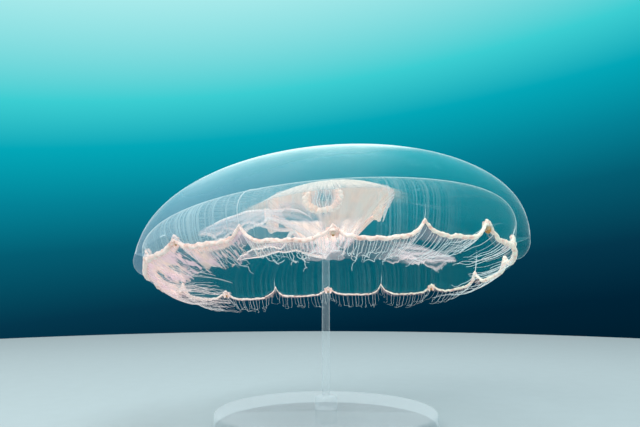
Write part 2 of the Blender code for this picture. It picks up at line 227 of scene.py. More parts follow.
@dataclass
class Surface:
    """Points with quads and triangles, and named values at the points."""

    points: Array
    quads: Array
    triangles: Array
    values: dict[str, Array]

    @staticmethod
    def grid(points: Array, wrap: bool, loop: bool = False, **values: Value) -> "Surface":
        """A sheet, tube or ring from a grid of points.

        Args:
            points: The grid, (row, column, xyz).
            wrap: Whether the last column joins the first.
            loop: Whether the last row joins the first.
            **values: Named values on the same grid.

        Returns:
            The grid's surface.
        """
        rows, columns = points.shape[:2]
        flat = {name: np.broadcast_to(value, (rows, columns)).reshape(-1) for name, value in values.items()}
        return Surface(points.reshape(-1, 3), lattice(rows, columns, wrap, loop), np.zeros((0, 3), int), flat)

    @staticmethod
    def joined(parts: list["Surface"]) -> "Surface":
        """One surface that holds all the parts, which have the same named values."""
        starts = np.cumsum([0] + [len(part.points) for part in parts[:-1]])
        return Surface(
            np.concatenate([part.points for part in parts]),
            np.concatenate([part.quads + start for part, start in zip(parts, starts)]),
            np.concatenate([part.triangles + start for part, start in zip(parts, starts)]),
            {name: np.concatenate([part.values[name] for part in parts]) for name in parts[0].values},
        )

    def corners(self) -> Array:
        """The point at each corner of each face, quads first."""
        return np.concatenate([self.quads.reshape(-1), self.triangles.reshape(-1)])

    def welded(self) -> "Surface":
        """The surface with the points that lie within a thousandth of a millimetre of each other made one.

        Returns:
            The welded surface; a point keeps the values of the first one there.
        """
        _, first, index = np.unique(np.round(self.points, 6), axis=0, return_index=True, return_inverse=True)
        values = {name: value[first] for name, value in self.values.items()}
        return Surface(self.points[first], index.reshape(-1)[self.quads], self.triangles, values)

    def closed_at_poles(self, columns: int, start: Array, end: Array) -> "Surface":
        """Closes a wrapped grid with a fan of triangles at each end.

        Args:
            columns: Points in each of the grid's rows.
            start: The point before its first row.
            end: The point after its last row.

        Returns:
            The closed surface; a pole's named values are the means of its row's.
        """
        count = len(self.points)
        values = {name: np.concatenate([value, [value[:columns].mean(), value[-columns:].mean()]])
                  for name, value in self.values.items()}
        triangles = fans(columns, count - columns, (count, count + 1))
        return Surface(np.concatenate([self.points, [start, end]]), self.quads, triangles, values)

    def thickened(self, thickness: Value) -> "Surface":
        """A closed shell of this open sheet of quads.

        Each point moves half the thickness along its normal, the mean of its faces' normals, and half
        against it, and a wall of quads closes every edge that only one face uses.

        Args:
            thickness: The shell's thickness, one value or one for each point.

        Returns:
            The closed shell.
        """
        corners = self.points[self.quads]
        across = np.cross(corners[:, 2] - corners[:, 0], corners[:, 3] - corners[:, 1])
        normals = np.zeros_like(self.points)
        for corner in range(4):
            np.add.at(normals, self.quads[:, corner], across)
        count = len(self.points)
        shift = unit(normals) * np.broadcast_to(thickness, count)[:, None] / 2.0
        edges = self.quads[:, [0, 1, 1, 2, 2, 3, 3, 0]].reshape(-1, 2)
        _, index, uses = np.unique(np.sort(edges, axis=1), axis=0, return_inverse=True, return_counts=True)
        free = edges[uses[index.reshape(-1)] == 1]
        walls = np.stack([free[:, 1], free[:, 0], free[:, 0] + count, free[:, 1] + count], axis=-1)
        quads = np.concatenate([self.quads, self.quads[:, ::-1] + count, walls])
        values = {name: np.concatenate([value, value]) for name, value in self.values.items()}
        points = np.concatenate([self.points + shift, self.points - shift])
        return Surface(points, quads, self.triangles, values)


def threads(paths: Array, radii: Array, sides: int, flat: float = 1.0, **values: Value) -> Surface:
    """Closed tubes of changing thickness, one round each path.

    A ring of sides points stands square to the path at each step, turned as little as the path allows, and a
    point 0.7 of a radius past each end closes the tube.

    Args:
        paths: Points of each path, (path, step, xyz).
        radii: The tube's radius at each step, (path, step).
        sides: Points in a ring.
        flat: The ring's second half axis, as a share of the first.
        **values: Named values for each path and step.

    Returns:
        All the tubes as one surface.
    """
    count, steps = radii.shape
    along = unit(np.gradient(paths, axis=1))
    helper = np.eye(3)[np.argmin(np.abs(along[:, 0]), axis=-1)]
    carried = [unit(np.cross(along[:, 0], helper))]
    for step in range(1, steps):
        side = carried[-1]
        carried.append(unit(side - (side * along[:, step]).sum(axis=-1, keepdims=True) * along[:, step]))
    first = np.stack(carried, axis=1)
    second = np.cross(along, first)
    turns = np.arange(sides)[:, None] * TURN / sides
    ring = np.cos(turns) * first[:, :, None] + flat * np.sin(turns) * second[:, :, None]
    rings = (paths[:, :, None] + radii[:, :, None, None] * ring).reshape(count, steps * sides, 3)
    ends = np.stack([paths[:, 0] - along[:, 0] * radii[:, :1] * 0.7,
                     paths[:, -1] + along[:, -1] * radii[:, -1:] * 0.7], axis=1)
    size = steps * sides + 2
    starts = (np.arange(count) * size)[:, None, None]
    quads = (lattice(steps, sides, True) + starts).reshape(-1, 4)
    caps = (fans(sides, (steps - 1) * sides, (size - 2, size - 1)) + starts).reshape(-1, 3)
    spread = {}
    for name, value in values.items():
        value = np.broadcast_to(value, radii.shape)
        body = np.repeat(value, sides, axis=1)
        spread[name] = np.concatenate([body, value[:, :1], value[:, -1:]], axis=1).reshape(-1)
    return Surface(np.concatenate([rings, ends], axis=1).reshape(-1, 3), quads, caps, spread)


def add_piece(name: str, shape: Surface, finishes: list[bpy.types.Material], nodes: list[str],
              wears: Array | None = None, chart: Array | None = None) -> None:
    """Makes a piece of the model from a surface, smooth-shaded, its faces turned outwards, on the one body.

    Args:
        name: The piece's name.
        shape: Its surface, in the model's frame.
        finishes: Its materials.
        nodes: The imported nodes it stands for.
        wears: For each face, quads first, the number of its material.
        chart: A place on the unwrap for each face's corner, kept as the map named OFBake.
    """
    mesh = bpy.data.meshes.new(name)
    corners = shape.corners().astype(np.int32)
    sizes = np.concatenate([np.full(len(shape.quads), 4), np.full(len(shape.triangles), 3)])
    mesh.vertices.add(len(shape.points))
    mesh.vertices.foreach_set("co", shape.points.astype(np.float32).reshape(-1))
    mesh.loops.add(len(corners))
    mesh.loops.foreach_set("vertex_index", corners)
    mesh.polygons.add(len(sizes))
    mesh.polygons.foreach_set("loop_start", np.concatenate([[0], np.cumsum(sizes)[:-1]]).astype(np.int32))
    if wears is not None:
        mesh.polygons.foreach_set("material_index", wears.astype(np.int32))
    for label, value in shape.values.items():
        mesh.attributes.new(label, "FLOAT", "POINT").data.foreach_set("value", value.astype(np.float32))
    if chart is not None:
        uv = mesh.uv_layers.new(name="OFBake")
        uv.uv.foreach_set("vector", chart.astype(np.float32).reshape(-1))
    mesh.update(calc_edges=True)
    turning = bmesh.new()
    turning.from_mesh(mesh)
    bmesh.ops.recalc_face_normals(turning, faces=turning.faces)
    turning.to_mesh(mesh)
    turning.free()
    mesh.shade_smooth()
    for finish in finishes:
        mesh.materials.append(finish)
    made = bpy.data.objects.new(name, mesh)
    bpy.context.scene.collection.objects.link(made)
    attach(made, "root")
    if nodes:
        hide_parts(*nodes)
    LOG.info("%s: %d points, %d faces", name, len(shape.points), len(sizes))


# -----------------------------------------------------------------------------
# The animal's form: the formulas that its solids are built from
# -----------------------------------------------------------------------------


@dataclass(frozen=True)
class Form:
    """The animal's driving sizes and the surfaces that they give.

    Bearings, and the widths that go with them, are in degrees; widths of notches and spikes are in scallops.
    """

    # The bell's outside: a leaning dome over a wall that curls in to the rim
    bell_radius: float = 0.1494
    widest_level: float = 0.010
    crown_height: float = 0.0740
    crown_power: float = 2.27
    lean: float = 0.155
    rim_radius: float = 0.1406
    rim_wall: float = 0.0026
    curl_power: float = 4.0

    # The hollow: a shoulder, fuller on one side, with the stomach's rise on it
    hollow_foot: float = 0.006
    hollow_wall_level: float = 0.017
    ceiling_radius: float = 0.1432
    ceiling_height: float = 0.036
    ceiling_power: float = 4.4
    ceiling_slope: float = 0.9
    full_shoulder: float = 0.20
    full_radii: Pair = (0.052, 0.084)
    full_bearing: float = 90.0
    full_width: float = 55.0
    stomach_rise: float = 0.027
    stomach_radius: float = 0.066
    inner_lean: float = 0.10
    organ_shift: float = -0.003
    organ_shift_radius: float = 0.090

    # The rim: notches, half of them plain with a spike, one standing proud, over slow swells
    scallops: int = 16
    notch_rise: float = 0.0080
    notch_width: float = 0.11
    notch_power: float = 1.2
    jelly_notch_share: float = 0.85
    jelly_notch_width: float = 0.15
    spike_rise: float = 0.0030
    spike_width: float = 0.034
    spike_power: float = 1.3
    near_spike_share: float = 0.4
    proud_rise: float = 0.0034
    proud_bearing: float = 45.0
    proud_width: float = 3.6
    swell_count: int = 3
    swell_height: float = 0.0040
    swell_phase: float = 0.12
    band_height: float = 0.0028
    band_width: float = 0.0026
    crowding: float = 0.6

    # The fringe: how far it goes inwards everywhere, nearer, and on the flanks, and down when near and far
    fringe_reach: Triple = (0.016, 0.008, 0.018)
    fringe_drop: Pair = (0.008, 0.013)
    fringe_powers: Pair = (1.15, 0.8)
    drop_beyond: float = 0.6

    # The pose
    bank: float = math.radians(8.0)
    roll: float = math.radians(2.2)
    rim_centre: Triple = (-0.001064, -0.001392, 0.112)

    def off_notch(self, bearing: Value) -> Value:
        """Distance to the nearest notch, in scallops."""
        return np.abs((bearing * self.scallops / TURN + 0.5) % 1.0 - 0.5)

    def off_plain(self, bearing: Value) -> Value:
        """Distance to the nearest plain notch, in scallops; the notches between hold sense organs."""
        return np.abs((bearing * self.scallops / 2.0 / TURN) % 1.0 - 0.5) * 2.0

    def swell(self, bearing: Value) -> Value:
        """How far the rim's slow swells dip."""
        return self.swell_height * np.cos(self.swell_count * bearing - self.swell_phase)

    def edge_level(self, bearing: Value) -> Value:
        """Height of the jelly's edge over the rim plane, with a rounded peak at each notch."""
        peak = falloff(self.off_notch(bearing), self.jelly_notch_width)
        return self.notch_rise * self.jelly_notch_share * peak - self.swell(bearing)

    def rim_level(self, bearing: Value) -> Value:
        """Height of the flesh rim: sharper peaks than the jelly's, spikes, and one notch standing proud.

        Args:
            bearing: Bearing round the bell.

        Returns:
            Height over the rim plane.
        """
        notch = self.notch_rise * falloff(self.off_notch(bearing), self.notch_width, self.notch_power)
        far = np.sin(bearing / 2.0) ** 2
        tall = self.spike_rise * between((self.near_spike_share, 1.0), far)
        spike = tall * falloff(self.off_plain(bearing), self.spike_width, self.spike_power)
        proud = self.proud_rise * about(bearing, self.proud_bearing, self.proud_width)
        return notch + spike + proud - self.swell(bearing)

    def ceiling(self, radius: Value, bearing: Value) -> Value:
        """Height of the hollow's roof.

        The shoulder is a superellipse, height * (1 - share^n)^(1/n), fuller on one side; the stomach's rise
        falls off with the fourth power of the radius; and the whole slopes up towards +X.

        Args:
            radius: Distance to the axis.
            bearing: Bearing round the bell.

        Returns:
            Height over the rim plane.
        """
        share = np.clip(radius / self.ceiling_radius, 0.0, 1.0)
        side = smooth(*self.full_radii, radius) * about(bearing, self.full_bearing, self.full_width)
        tall = self.ceiling_height * (1.0 + self.full_shoulder * side)
        shoulder = tall * (1.0 - share**self.ceiling_power) ** (1.0 / self.ceiling_power)
        rise = self.stomach_rise * falloff(radius, self.stomach_radius, 4.0)
        return self.hollow_foot + (shoulder + rise) * (1.0 + self.ceiling_slope * radius * np.sin(bearing))

    def polar(self, radius: Value, bearing: Value, height: Value, drift: Value) -> Array:
        """Points from distance to the axis, bearing and height, moved by drift along X."""
        return stacked(radius * np.sin(bearing) + drift, -radius * np.cos(bearing), height)

    def outside(self, radius: Value, bearing: Value, height: Value) -> Array:
        """Points of the bell's outside, which leans towards +X."""
        return self.polar(radius, bearing, height, self.lean * height)

    def inside(self, radius: Value, bearing: Value, height: Value) -> Array:
        """Points of the hollow, its organs or the rim: a smaller lean, and a shift near the axis.

        Args:
            radius: Distance to the axis.
            bearing: Bearing round the bell.
            height: Height over the rim plane.

        Returns:
            Points in the animal's frame.
        """
        lean = self.inner_lean * np.maximum(height - self.hollow_wall_level, 0.0)
        shift = self.organ_shift * falloff(radius, self.organ_shift_radius, 4.0)
        return self.polar(radius, bearing, height, lean + shift)

    def place(self, points: Array) -> Array:
        """Points of the animal's frame in the model's frame: banked, rolled and set over the stand."""
        turn = np.array(Euler((-self.bank, -self.roll, 0.0)).to_matrix())
        return points @ turn.T + np.array(self.rim_centre)

    def fringe(self, bearing: Array, share: Array) -> tuple[Array, Array]:
        """How far the fringe has gone from its root.

        Inwards it goes by reach * share^1.15, and down by drop * sin(quarter turn * share)^0.8, with a
        straight fall past a share of 1.

        Args:
            bearing: Bearing of the root.
            share: Share of the usual length; a long thread's goes past 1.

        Returns:
            Travel inwards and travel down.
        """
        everywhere, nearer, flanks = self.fringe_reach
        reach = everywhere + nearer * np.cos(bearing) + flanks * np.sin(bearing) ** 2
        drop = between(self.fringe_drop, 0.5 - 0.5 * np.cos(bearing))
        beyond = np.maximum(share - 1.0, 0.0)
        inward, down = self.fringe_powers
        fall = np.sin((share - beyond) * math.pi / 2.0) ** down + self.drop_beyond * beyond
        return reach * share**inward, drop * fall

    def columns(self, each: int) -> Array:
        """Bearings round the rim, the same number to each scallop, closer together towards its notches.

        Args:
            each: Columns to a scallop.

        Returns:
            Their bearings.
        """
        place = np.arange(each) / each
        place = place - self.crowding * np.sin(TURN * place) / TURN
        return ((np.arange(self.scallops)[:, None] + place) * TURN / self.scallops).reshape(-1)


# -----------------------------------------------------------------------------
# Finishes
# -----------------------------------------------------------------------------


class Signal:
    """A shader socket that takes part in Python expressions; each operator adds one Math node."""

    def __init__(self, board: "Board", socket: bpy.types.NodeSocket) -> None:
        """Wraps one output of a node on the board."""
        self.board = board
        self.socket = socket

    def maths(self, operation: str, *values: "Signal | float") -> "Signal":
        """The result of one Math node on these values."""
        return self.board.add("ShaderNodeMath", {"operation": operation}, dict(enumerate(values)))

    def __add__(self, other: "Signal | float") -> "Signal":
        """Sum."""
        return self.maths("ADD", self, other)

    def __radd__(self, other: float) -> "Signal":
        """Sum with a number on the left."""
        return self.maths("ADD", other, self)

    def __sub__(self, other: "Signal | float") -> "Signal":
        """Difference."""
        return self.maths("SUBTRACT", self, other)

    def __rsub__(self, other: float) -> "Signal":
        """Difference from a number on the left."""
        return self.maths("SUBTRACT", other, self)

    def __mul__(self, other: "Signal | float") -> "Signal":
        """Product."""
        return self.maths("MULTIPLY", self, other)

    def __rmul__(self, other: float) -> "Signal":
        """Product with a number on the left."""
        return self.maths("MULTIPLY", other, self)

    def __truediv__(self, other: "Signal | float") -> "Signal":
        """Quotient."""
        return self.maths("DIVIDE", self, other)

    def __pow__(self, other: float) -> "Signal":
        """Power."""
        return self.maths("POWER", self, other)


class Board:
    """The node tree of a material, or of the surroundings."""

    def __init__(self, holder: bpy.types.Material | bpy.types.World) -> None:
        """Starts with an empty tree.

        Args:
            holder: The material, or the surroundings.
        """
        self.holder = holder
        self.holder.use_nodes = True
        self.tree = self.holder.node_tree
        self.tree.nodes.clear()

    def add(self, kind: str, settings: dict[str, Any] | None = None,
            inputs: dict[Any, Any] | None = None, output: int | str = 0) -> Signal:
        """Adds a node: its settings first, then its inputs.

        Args:
            kind: The node's type.
            settings: Properties by name; stops gives a ramp's (place, colour) pairs.
            inputs: Values or signals by the socket's name or number.
            output: The output that is wanted.

        Returns:
            That output.
        """
        node = self.tree.nodes.new(kind)
        for name, value in (settings or {}).items():
            if name == "stops":
                self._set_stops(node.color_ramp, value)
            else:
                setattr(node, name, value)
        for name, value in (inputs or {}).items():
            if isinstance(value, Signal):
                self.tree.links.new(value.socket, node.inputs[name])
            else:
                node.inputs[name].default_value = value
        return Signal(self, node.outputs[output])

    @staticmethod
    def _set_stops(ramp: bpy.types.ColorRamp, stops: Sequence[tuple[float, Colour]]) -> None:
        """Gives a ramp its (place, colour) pairs."""
        while len(ramp.elements) < len(stops):
            ramp.elements.new(1.0)
        for element, (place, colour) in zip(ramp.elements, stops):
            element.position = place
            element.color = (*colour, 1.0)

    def model_place(self) -> Signal:
        """The point's place in the model's frame."""
        return self.add("ShaderNodeTexCoord", output="Object")

    def animal_place(self, form: Form) -> Signal:
        """The point's place in the animal's own frame.

        Args:
            form: The animal's form.

        Returns:
            The place, in metres.
        """
        turn = (-form.bank, -form.roll, 0.0)
        pose = {"Vector": self.model_place(), "Location": form.rim_centre, "Rotation": turn}
        return self.add("ShaderNodeMapping", {"vector_type": "TEXTURE"}, pose)

    def split(self, vector: Signal) -> tuple[Signal, Signal, Signal]:
        """The three parts of a vector.

        Args:
            vector: The vector.

        Returns:
            Its X, Y and Z.
        """
        first = self.add("ShaderNodeSeparateXYZ", inputs={"Vector": vector}, output="X")
        node = first.socket.node
        return first, Signal(self, node.outputs["Y"]), Signal(self, node.outputs["Z"])

    def joined(self, x: Signal | float, y: Signal | float, z: Signal | float) -> Signal:
        """A vector from three parts."""
        return self.add("ShaderNodeCombineXYZ", inputs={"X": x, "Y": y, "Z": z})

    def noise(self, vector: Signal, scale: float, detail: float = 2.0, roughness: float = 0.5) -> Signal:
        """Soft noise from 0 to 1, about 0.5."""
        inputs = {"Vector": vector, "Scale": scale, "Detail": detail, "Roughness": roughness}
        return self.add("ShaderNodeTexNoise", inputs=inputs, output="Fac")

    def eased(self, value: Signal, low: float, high: float) -> Signal:
        """0 at low and 1 at high, eased between; low may be the larger."""
        inputs = {"Value": value, "From Min": low, "From Max": high}
        return self.add("ShaderNodeMapRange", {"interpolation_type": "SMOOTHSTEP"}, inputs, "Result")

    def blend(self, share: Signal, first: Colour | Signal, second: Colour | Signal) -> Signal:
        """The first colour, turning into the second as share goes to 1.

        Args:
            share: From 0 for the first colour to 1 for the second.
            first: The first colour.
            second: The second colour.

        Returns:
            The mixed colour.
        """
        inputs = {"Factor": share}
        for socket, colour in ((6, first), (7, second)):
            inputs[socket] = colour if isinstance(colour, Signal) else (*colour, 1.0)
        return self.add("ShaderNodeMix", {"data_type": "RGBA"}, inputs, 2)

    def value(self, name: str) -> Signal:
        """A named value of the surface."""
        return self.add("ShaderNodeAttribute", {"attribute_name": name}, output="Fac")

    def facing(self) -> Signal:
        """0 where the surface is seen square on, 1 where it is seen along."""
        return self.add("ShaderNodeLayerWeight", inputs={"Blend": 0.5}, output="Facing")

    def bump(self, height: Signal, strength: float, distance: float) -> Signal:
        """A normal raised by height."""
        inputs = {"Height": height, "Strength": strength, "Distance": distance}
        return self.add("ShaderNodeBump", inputs=inputs)

    def finished(self, painted_glow: float = 0.0, **inputs: Any) -> bpy.types.Material:
        """Ends the tree in one Principled shader.

        Args:
            painted_glow: How strongly the flesh emits its own colour: painted light, standing in for the
                light that is spread inside it.
            **inputs: The shader's inputs, underscores standing for spaces.

        Returns:
            The material.
        """
        named = {name.replace("_", " "): (*value, 1.0) if isinstance(value, tuple) else value
                 for name, value in inputs.items()}
        # Painted light: the flesh emits its own base colour, glowing though it is no lamp.
        if painted_glow:
            named |= {"Emission Color": named["Base Color"], "Emission Strength": painted_glow}
        self.end("ShaderNodeOutputMaterial", self.add("ShaderNodeBsdfPrincipled", inputs=named))
        return self.holder

    def end(self, kind: str, shader: Signal) -> None:
        """Joins a shader to the tree's output."""
        self.tree.links.new(shader.socket, self.tree.nodes.new(kind).inputs["Surface"])


@dataclass(frozen=True)
class Finish:
    """What every finish has: a name, under which it starts a material."""

    name: str

    def board(self) -> Board:
        """A new material's empty tree."""
        return Board(bpy.data.materials.new(self.name))

    def make(self, form: Form) -> bpy.types.Material:
        """The finish as a material, on an animal of this form."""
        raise NotImplementedError


@dataclass(frozen=True)
class JellyFinish(Finish):
    """Clear jelly: a faint blue-green film, white where seen along; painted highlight on the crown, painted
    light on the near left.
    """

    colour: Colour
    white: Colour
    painted_side_light_colour: Colour
    clear: float
    limb: float
    limb_power: float
    painted_side_light: float
    bloom: float
    crown: float
    painted_glow: float
    crown_power: float = 12.0

    def make(self, form: Form) -> bpy.types.Material:
        """The finish as a material.

        Alpha is film + white: the film is clear + bloom * facing^2 in the crown, and white is limb *
        facing^power + crown * facing^12 high up, a painted highlight on the crown's top that fades out
        towards
        +X, + haze * a cloudy slope along X, painted light on the near left side. The colour goes from the
        film's own to white by white's part of alpha.

        Args:
            form: The animal's form.

        Returns:
            The material.
        """
        board = self.board()
        place = board.animal_place(form)
        x, y, z = board.split(place)
        cloud = board.noise(place, 18.0, 3.0)
        # Painted light: a whiter, cloudy film on the near left side, where the light falls.
        painted_side_light = self.painted_side_light * (board.eased(x, 0.07, -0.12) * board.eased(y, 0.11, 0.0) * (0.45 + cloud * 1.1))
        facing = board.facing()
        # Painted highlight: white on the crown's top, fading out towards +X.
        crown = board.eased(z, 0.050, 0.070) * board.eased(x, 0.065, 0.020) * (0.6 + 0.8 * cloud)
        white = self.limb * facing**self.limb_power + self.crown * facing**self.crown_power * crown + painted_side_light
        alpha = white + self.clear + self.bloom * facing**2.0 * board.eased(z, 0.005, 0.065)
        colour = board.blend(white / alpha, self.colour, board.blend(painted_side_light / white, self.white, self.painted_side_light_colour))
        grain = board.noise(place, 900.0, 2.0)
        return board.finished(
            self.painted_glow, Base_Color=colour, Alpha=alpha, Roughness=0.16 + 0.1 * cloud, IOR=1.36,
            Specular_IOR_Level=0.3, Normal=board.bump(grain, 0.12, 0.0002),
        )


@dataclass(frozen=True)
class LiningFinish(Finish):
    """The film under the bell: fine radial lines on its shoulder, milky round the stomach."""

    colour: Colour
    white: Colour
    painted_side_light_colour: Colour
    milky: Colour
    clear: float
    limb: float
    limb_power: float
    painted_side_light: float
    milk: float
    lines: float
    bloom: float
    painted_glow: float
    spokes: float = 95.0

    def make(self, form: Form) -> bpy.types.Material:
        """The finish as a material, mixed as the jelly's is.

        Its white is the shoulder's limb, the pale lines with painted light on the near left side, where the
        light falls, and milk round the stomach, whose edge the lines fray. The lines are noise on the
        direction
        from the axis: they show on the near left, stronger under that painted light, on the near right
        shoulder and a little at the far side; they take the painted light's colour.

        Args:
            form: The animal's form.

        Returns:
            The material.
        """
        board = self.board()
        place = board.animal_place(form)
        x, y, _ = board.split(place)
        radius = (x * x + y * y) ** 0.5
        fine = board.joined(x / radius * self.spokes, y / radius * self.spokes, radius * 7.0)
        strand = board.noise(fine, 1.0, 1.0)
        line = board.eased(strand, 0.42, 0.66) * board.eased(radius, 0.075, 0.108)
        cloud = board.noise(place, 26.0, 3.0)
        # Painted light on the near left side, where the light falls: a whiter film, and stronger lines.
        side = board.eased(x, 0.03, -0.09) * board.eased(y, 0.10, 0.0) * (0.4 + cloud * 1.1)
        near = board.eased(x, 0.020, 0.034) * board.eased(x, 0.086, 0.052) * board.eased(y, -0.01, -0.05)
        lined = 0.025 + side + 0.10 * board.eased(y, 0.05, 0.11) + near * (0.25 + 0.70 * cloud)
        pale = self.lines * line * lined + self.painted_side_light * side
        frayed = radius + (strand - 0.5) * 0.030
        edge = frayed + 0.024 * board.eased(y, -0.01, 0.05) + 0.009 * board.eased(x, 0.03, 0.06)
        facing = board.facing()
        milk = board.eased(edge, 0.080, 0.056) * board.eased(radius, 0.010, 0.034) * (0.45 + cloud)
        milk = self.milk * milk * (0.30 + 2.4 * facing**2.0)
        shoulder = board.eased(radius, 0.085, 0.112) * board.eased(y, 0.05, -0.05)
        limb = self.limb * facing**self.limb_power * shoulder * (1.0 - 0.45 * board.eased(x, 0.02, 0.13))
        white = limb + pale + milk
        alpha = white + self.clear + self.bloom * facing**3.0
        mixed = board.blend(pale / white, self.white, self.painted_side_light_colour)
        colour = board.blend(white / alpha, self.colour, board.blend(milk / white, mixed, self.milky))
        return board.finished(
            self.painted_glow, Base_Color=colour, Alpha=alpha, Roughness=0.30, IOR=1.36, Specular_IOR_Level=0.1,
            Normal=board.bump(line, 0.10, 0.0002),
        )


@dataclass(frozen=True)
class TissueFinish(Finish):
    """Soft flesh: two mottled colours, thin and cool in its windows, streaked by folds, white at lips and
    painted highlights.
    """

    colour: Colour
    second: Colour
    thin: Colour
    lip_colour: Colour
    alpha: float
    lip_alpha: float
    grain: float
    painted_glow: float

    def make(self, form: Form) -> bpy.types.Material:
        """The finish as a material; lip, window and fold are values of the surface, from 0 to 1; lip also
        carries painted highlights.

        Args:
            form: The animal's form; not used here.

        Returns:
            The material.
        """
        board = self.board()
        place = board.model_place()
        cloud = board.noise(place, 60.0, 4.0, 0.6)
        fine = board.noise(place, self.grain, 3.0, 0.6)
        lip, window, fold = (board.value(name) for name in ("lip", "window", "fold"))
        mixed = board.blend(board.eased(cloud, 0.36, 0.64), self.colour, self.second)
        # The lip value whitens the lips, and paints the gonads' highlights.
        colour = board.blend(lip, board.blend(window, mixed, self.thin), self.lip_colour)
        body = self.alpha * (0.58 + 0.35 * cloud + 0.50 * fold + 0.35 * board.facing() ** 3.0)
        alpha = body * (1.0 - 0.96 * window * (1.0 - 0.20 * fold)) + self.lip_alpha * lip
        return board.finished(self.painted_glow, Base_Color=colour, Alpha=alpha, Roughness=0.38, IOR=1.38,
                              Normal=board.bump(fine, 0.45, 0.0005))


@dataclass(frozen=True)
class GranularFinish(Finish):
    """The margin's creamy pink flesh, with pale grains and a few darker flecks, creamier towards +X."""

    colour: Colour
    pale: Colour
    cream: Colour
    fleck: Colour
    painted_glow: float

    def make(self, form: Form) -> bpy.types.Material:
        """The finish as a material; grain is a value of the surface, from 0 to 1.

        Args:
            form: The animal's form; not used here.

        Returns:
            The material.
        """
        board = self.board()
        place = board.model_place()
        pale = board.blend(board.eased(board.split(place)[0], 0.0, 0.09), self.pale, self.cream)
        speck = board.noise(place, 520.0, 2.0, 0.6)
        cloud = board.noise(place, 190.0, 3.0, 0.6)
        base = board.blend(board.eased(cloud, 0.35, 0.65), self.colour, pale)
        spotted = board.blend(board.eased(speck, 0.58, 0.70) * 0.6, base, self.fleck)
        colour = board.blend(board.eased(board.value("grain"), 0.40, 1.05), spotted, pale)
        return board.finished(self.painted_glow, Base_Color=colour, Roughness=0.42, IOR=1.38,
                              Normal=board.bump(speck, 0.5, 0.0004))


@dataclass(frozen=True)
class VeilFinish(Finish):
    """A pinkish, part see-through sheet that splits into fine slits towards its free edge."""

    colour: Colour
    second: Colour
    alpha: float
    broad_alpha: float
    painted_glow: float
    slit: float = 330.0

    def make(self, form: Form) -> bpy.types.Material:
        """The finish as a material.

        Four values of the surface drive it: turn, the way round the rim in metres, and from 0 to 1 reach, the
        share of the breadth, broad, where the sheet is broad, and gap, where it is open. The slits are noise
        stretched along the breadth, cut through in the gaps and in some patches between.

        Args:
            form: The animal's form; not used here.

        Returns:
            The material.
        """
        board = self.board()
        turn, reach, broad, gap = (board.value(name) for name in ("turn", "reach", "broad", "gap"))
        comb = board.noise(board.joined(turn * self.slit, reach * 1.6, broad), 1.0, 2.0, 0.6)
        patch = board.eased(board.noise(board.joined(turn * 26.0, reach * 1.7, 3.0), 1.0, 1.0), 0.45, 0.51)
        share = patch + (1.0 - patch) * gap
        slits = board.eased(comb + 0.06 * gap, 0.45, 0.50) * board.eased(reach, 0.10, 0.20)
        cut = slits * (0.12 + 0.88 * share)
        cloud = board.noise(board.model_place(), 80.0, 3.0)
        colour = board.blend(board.eased(cloud, 0.35, 0.65), self.colour, self.second)
        alpha = (self.alpha + self.broad_alpha * broad) * (1.0 - 0.98 * cut) * (1.15 - 0.6 * reach)
        return board.finished(self.painted_glow, Base_Color=colour, Alpha=alpha, Roughness=0.35, IOR=1.36,
                              Normal=board.bump(comb, 0.4, 0.0004))


@dataclass(frozen=True)
class ThreadFinish(Finish):
    """Tentacles and other threads: pale, clearer at the root, with whiter beads of stinging cells."""

    colour: Colour
    tinted: Colour
    alpha: float
    painted_glow: float

    def make(self, form: Form) -> bpy.types.Material:
        """The finish as a material; along, from root to tip, and tint are the surface's, from 0 to 1.

        Args:
            form: The animal's form; not used here.

        Returns:
            The material.
        """
        board = self.board()
        bead = board.eased(board.noise(board.model_place(), 1100.0, 1.0), 0.45, 0.62)
        alpha = self.alpha * (0.55 + 0.45 * bead + 0.35 * board.value("along"))
        colour = board.blend(board.value("tint"), self.colour, self.tinted)
        return board.finished(self.painted_glow, Base_Color=colour, Alpha=alpha, Roughness=0.35, IOR=1.36)


@dataclass(frozen=True)
class SenseFinish(Finish):
    """A sense organ: an amber bead with dark pigment spots under a pale cap."""

    amber: Colour
    spot: Colour
    cap: Colour

    def make(self, form: Form) -> bpy.types.Material:
        """The finish as a material; rise, from low end to cap, and ripe, how amber, go from 0 to 1.

        Args:
            form: The animal's form; not used here.

        Returns:
            The material.
        """
        board = self.board()
        speck = board.noise(board.model_place(), 1500.0, 2.0)
        bead = board.blend(board.eased(speck, 0.4, 0.62) * 0.6, self.amber, self.spot)
        cap = board.eased(board.value("rise") + (1.0 - board.value("ripe")) * 0.45, 0.50, 0.85)
        colour = board.blend(cap, bead, self.cap)
        normal = board.bump(speck, 0.4, 0.0002)
        return board.finished(Base_Color=colour, Roughness=0.25, IOR=1.4, Normal=normal)


@dataclass(frozen=True)
class AcrylicFinish(Finish):
    """Polished clear acrylic, with faint polishing marks in its gloss."""

    colour: Colour
    roughness: float
    clear: float
    edge: float

    def make(self, form: Form) -> bpy.types.Material:
        """The finish as a material.

        Args:
            form: The animal's form; not used here.

        Returns:
            The material.
        """
        board = self.board()
        swirl = board.noise(board.model_place(), 240.0, 3.0, 0.6)
        return board.finished(Base_Color=self.colour, Roughness=self.roughness + 0.03 * swirl, IOR=1.49,
                              Alpha=self.clear + self.edge * board.facing() ** 2.0)


# -----------------------------------------------------------------------------
# Sub-assemblies
# -----------------------------------------------------------------------------


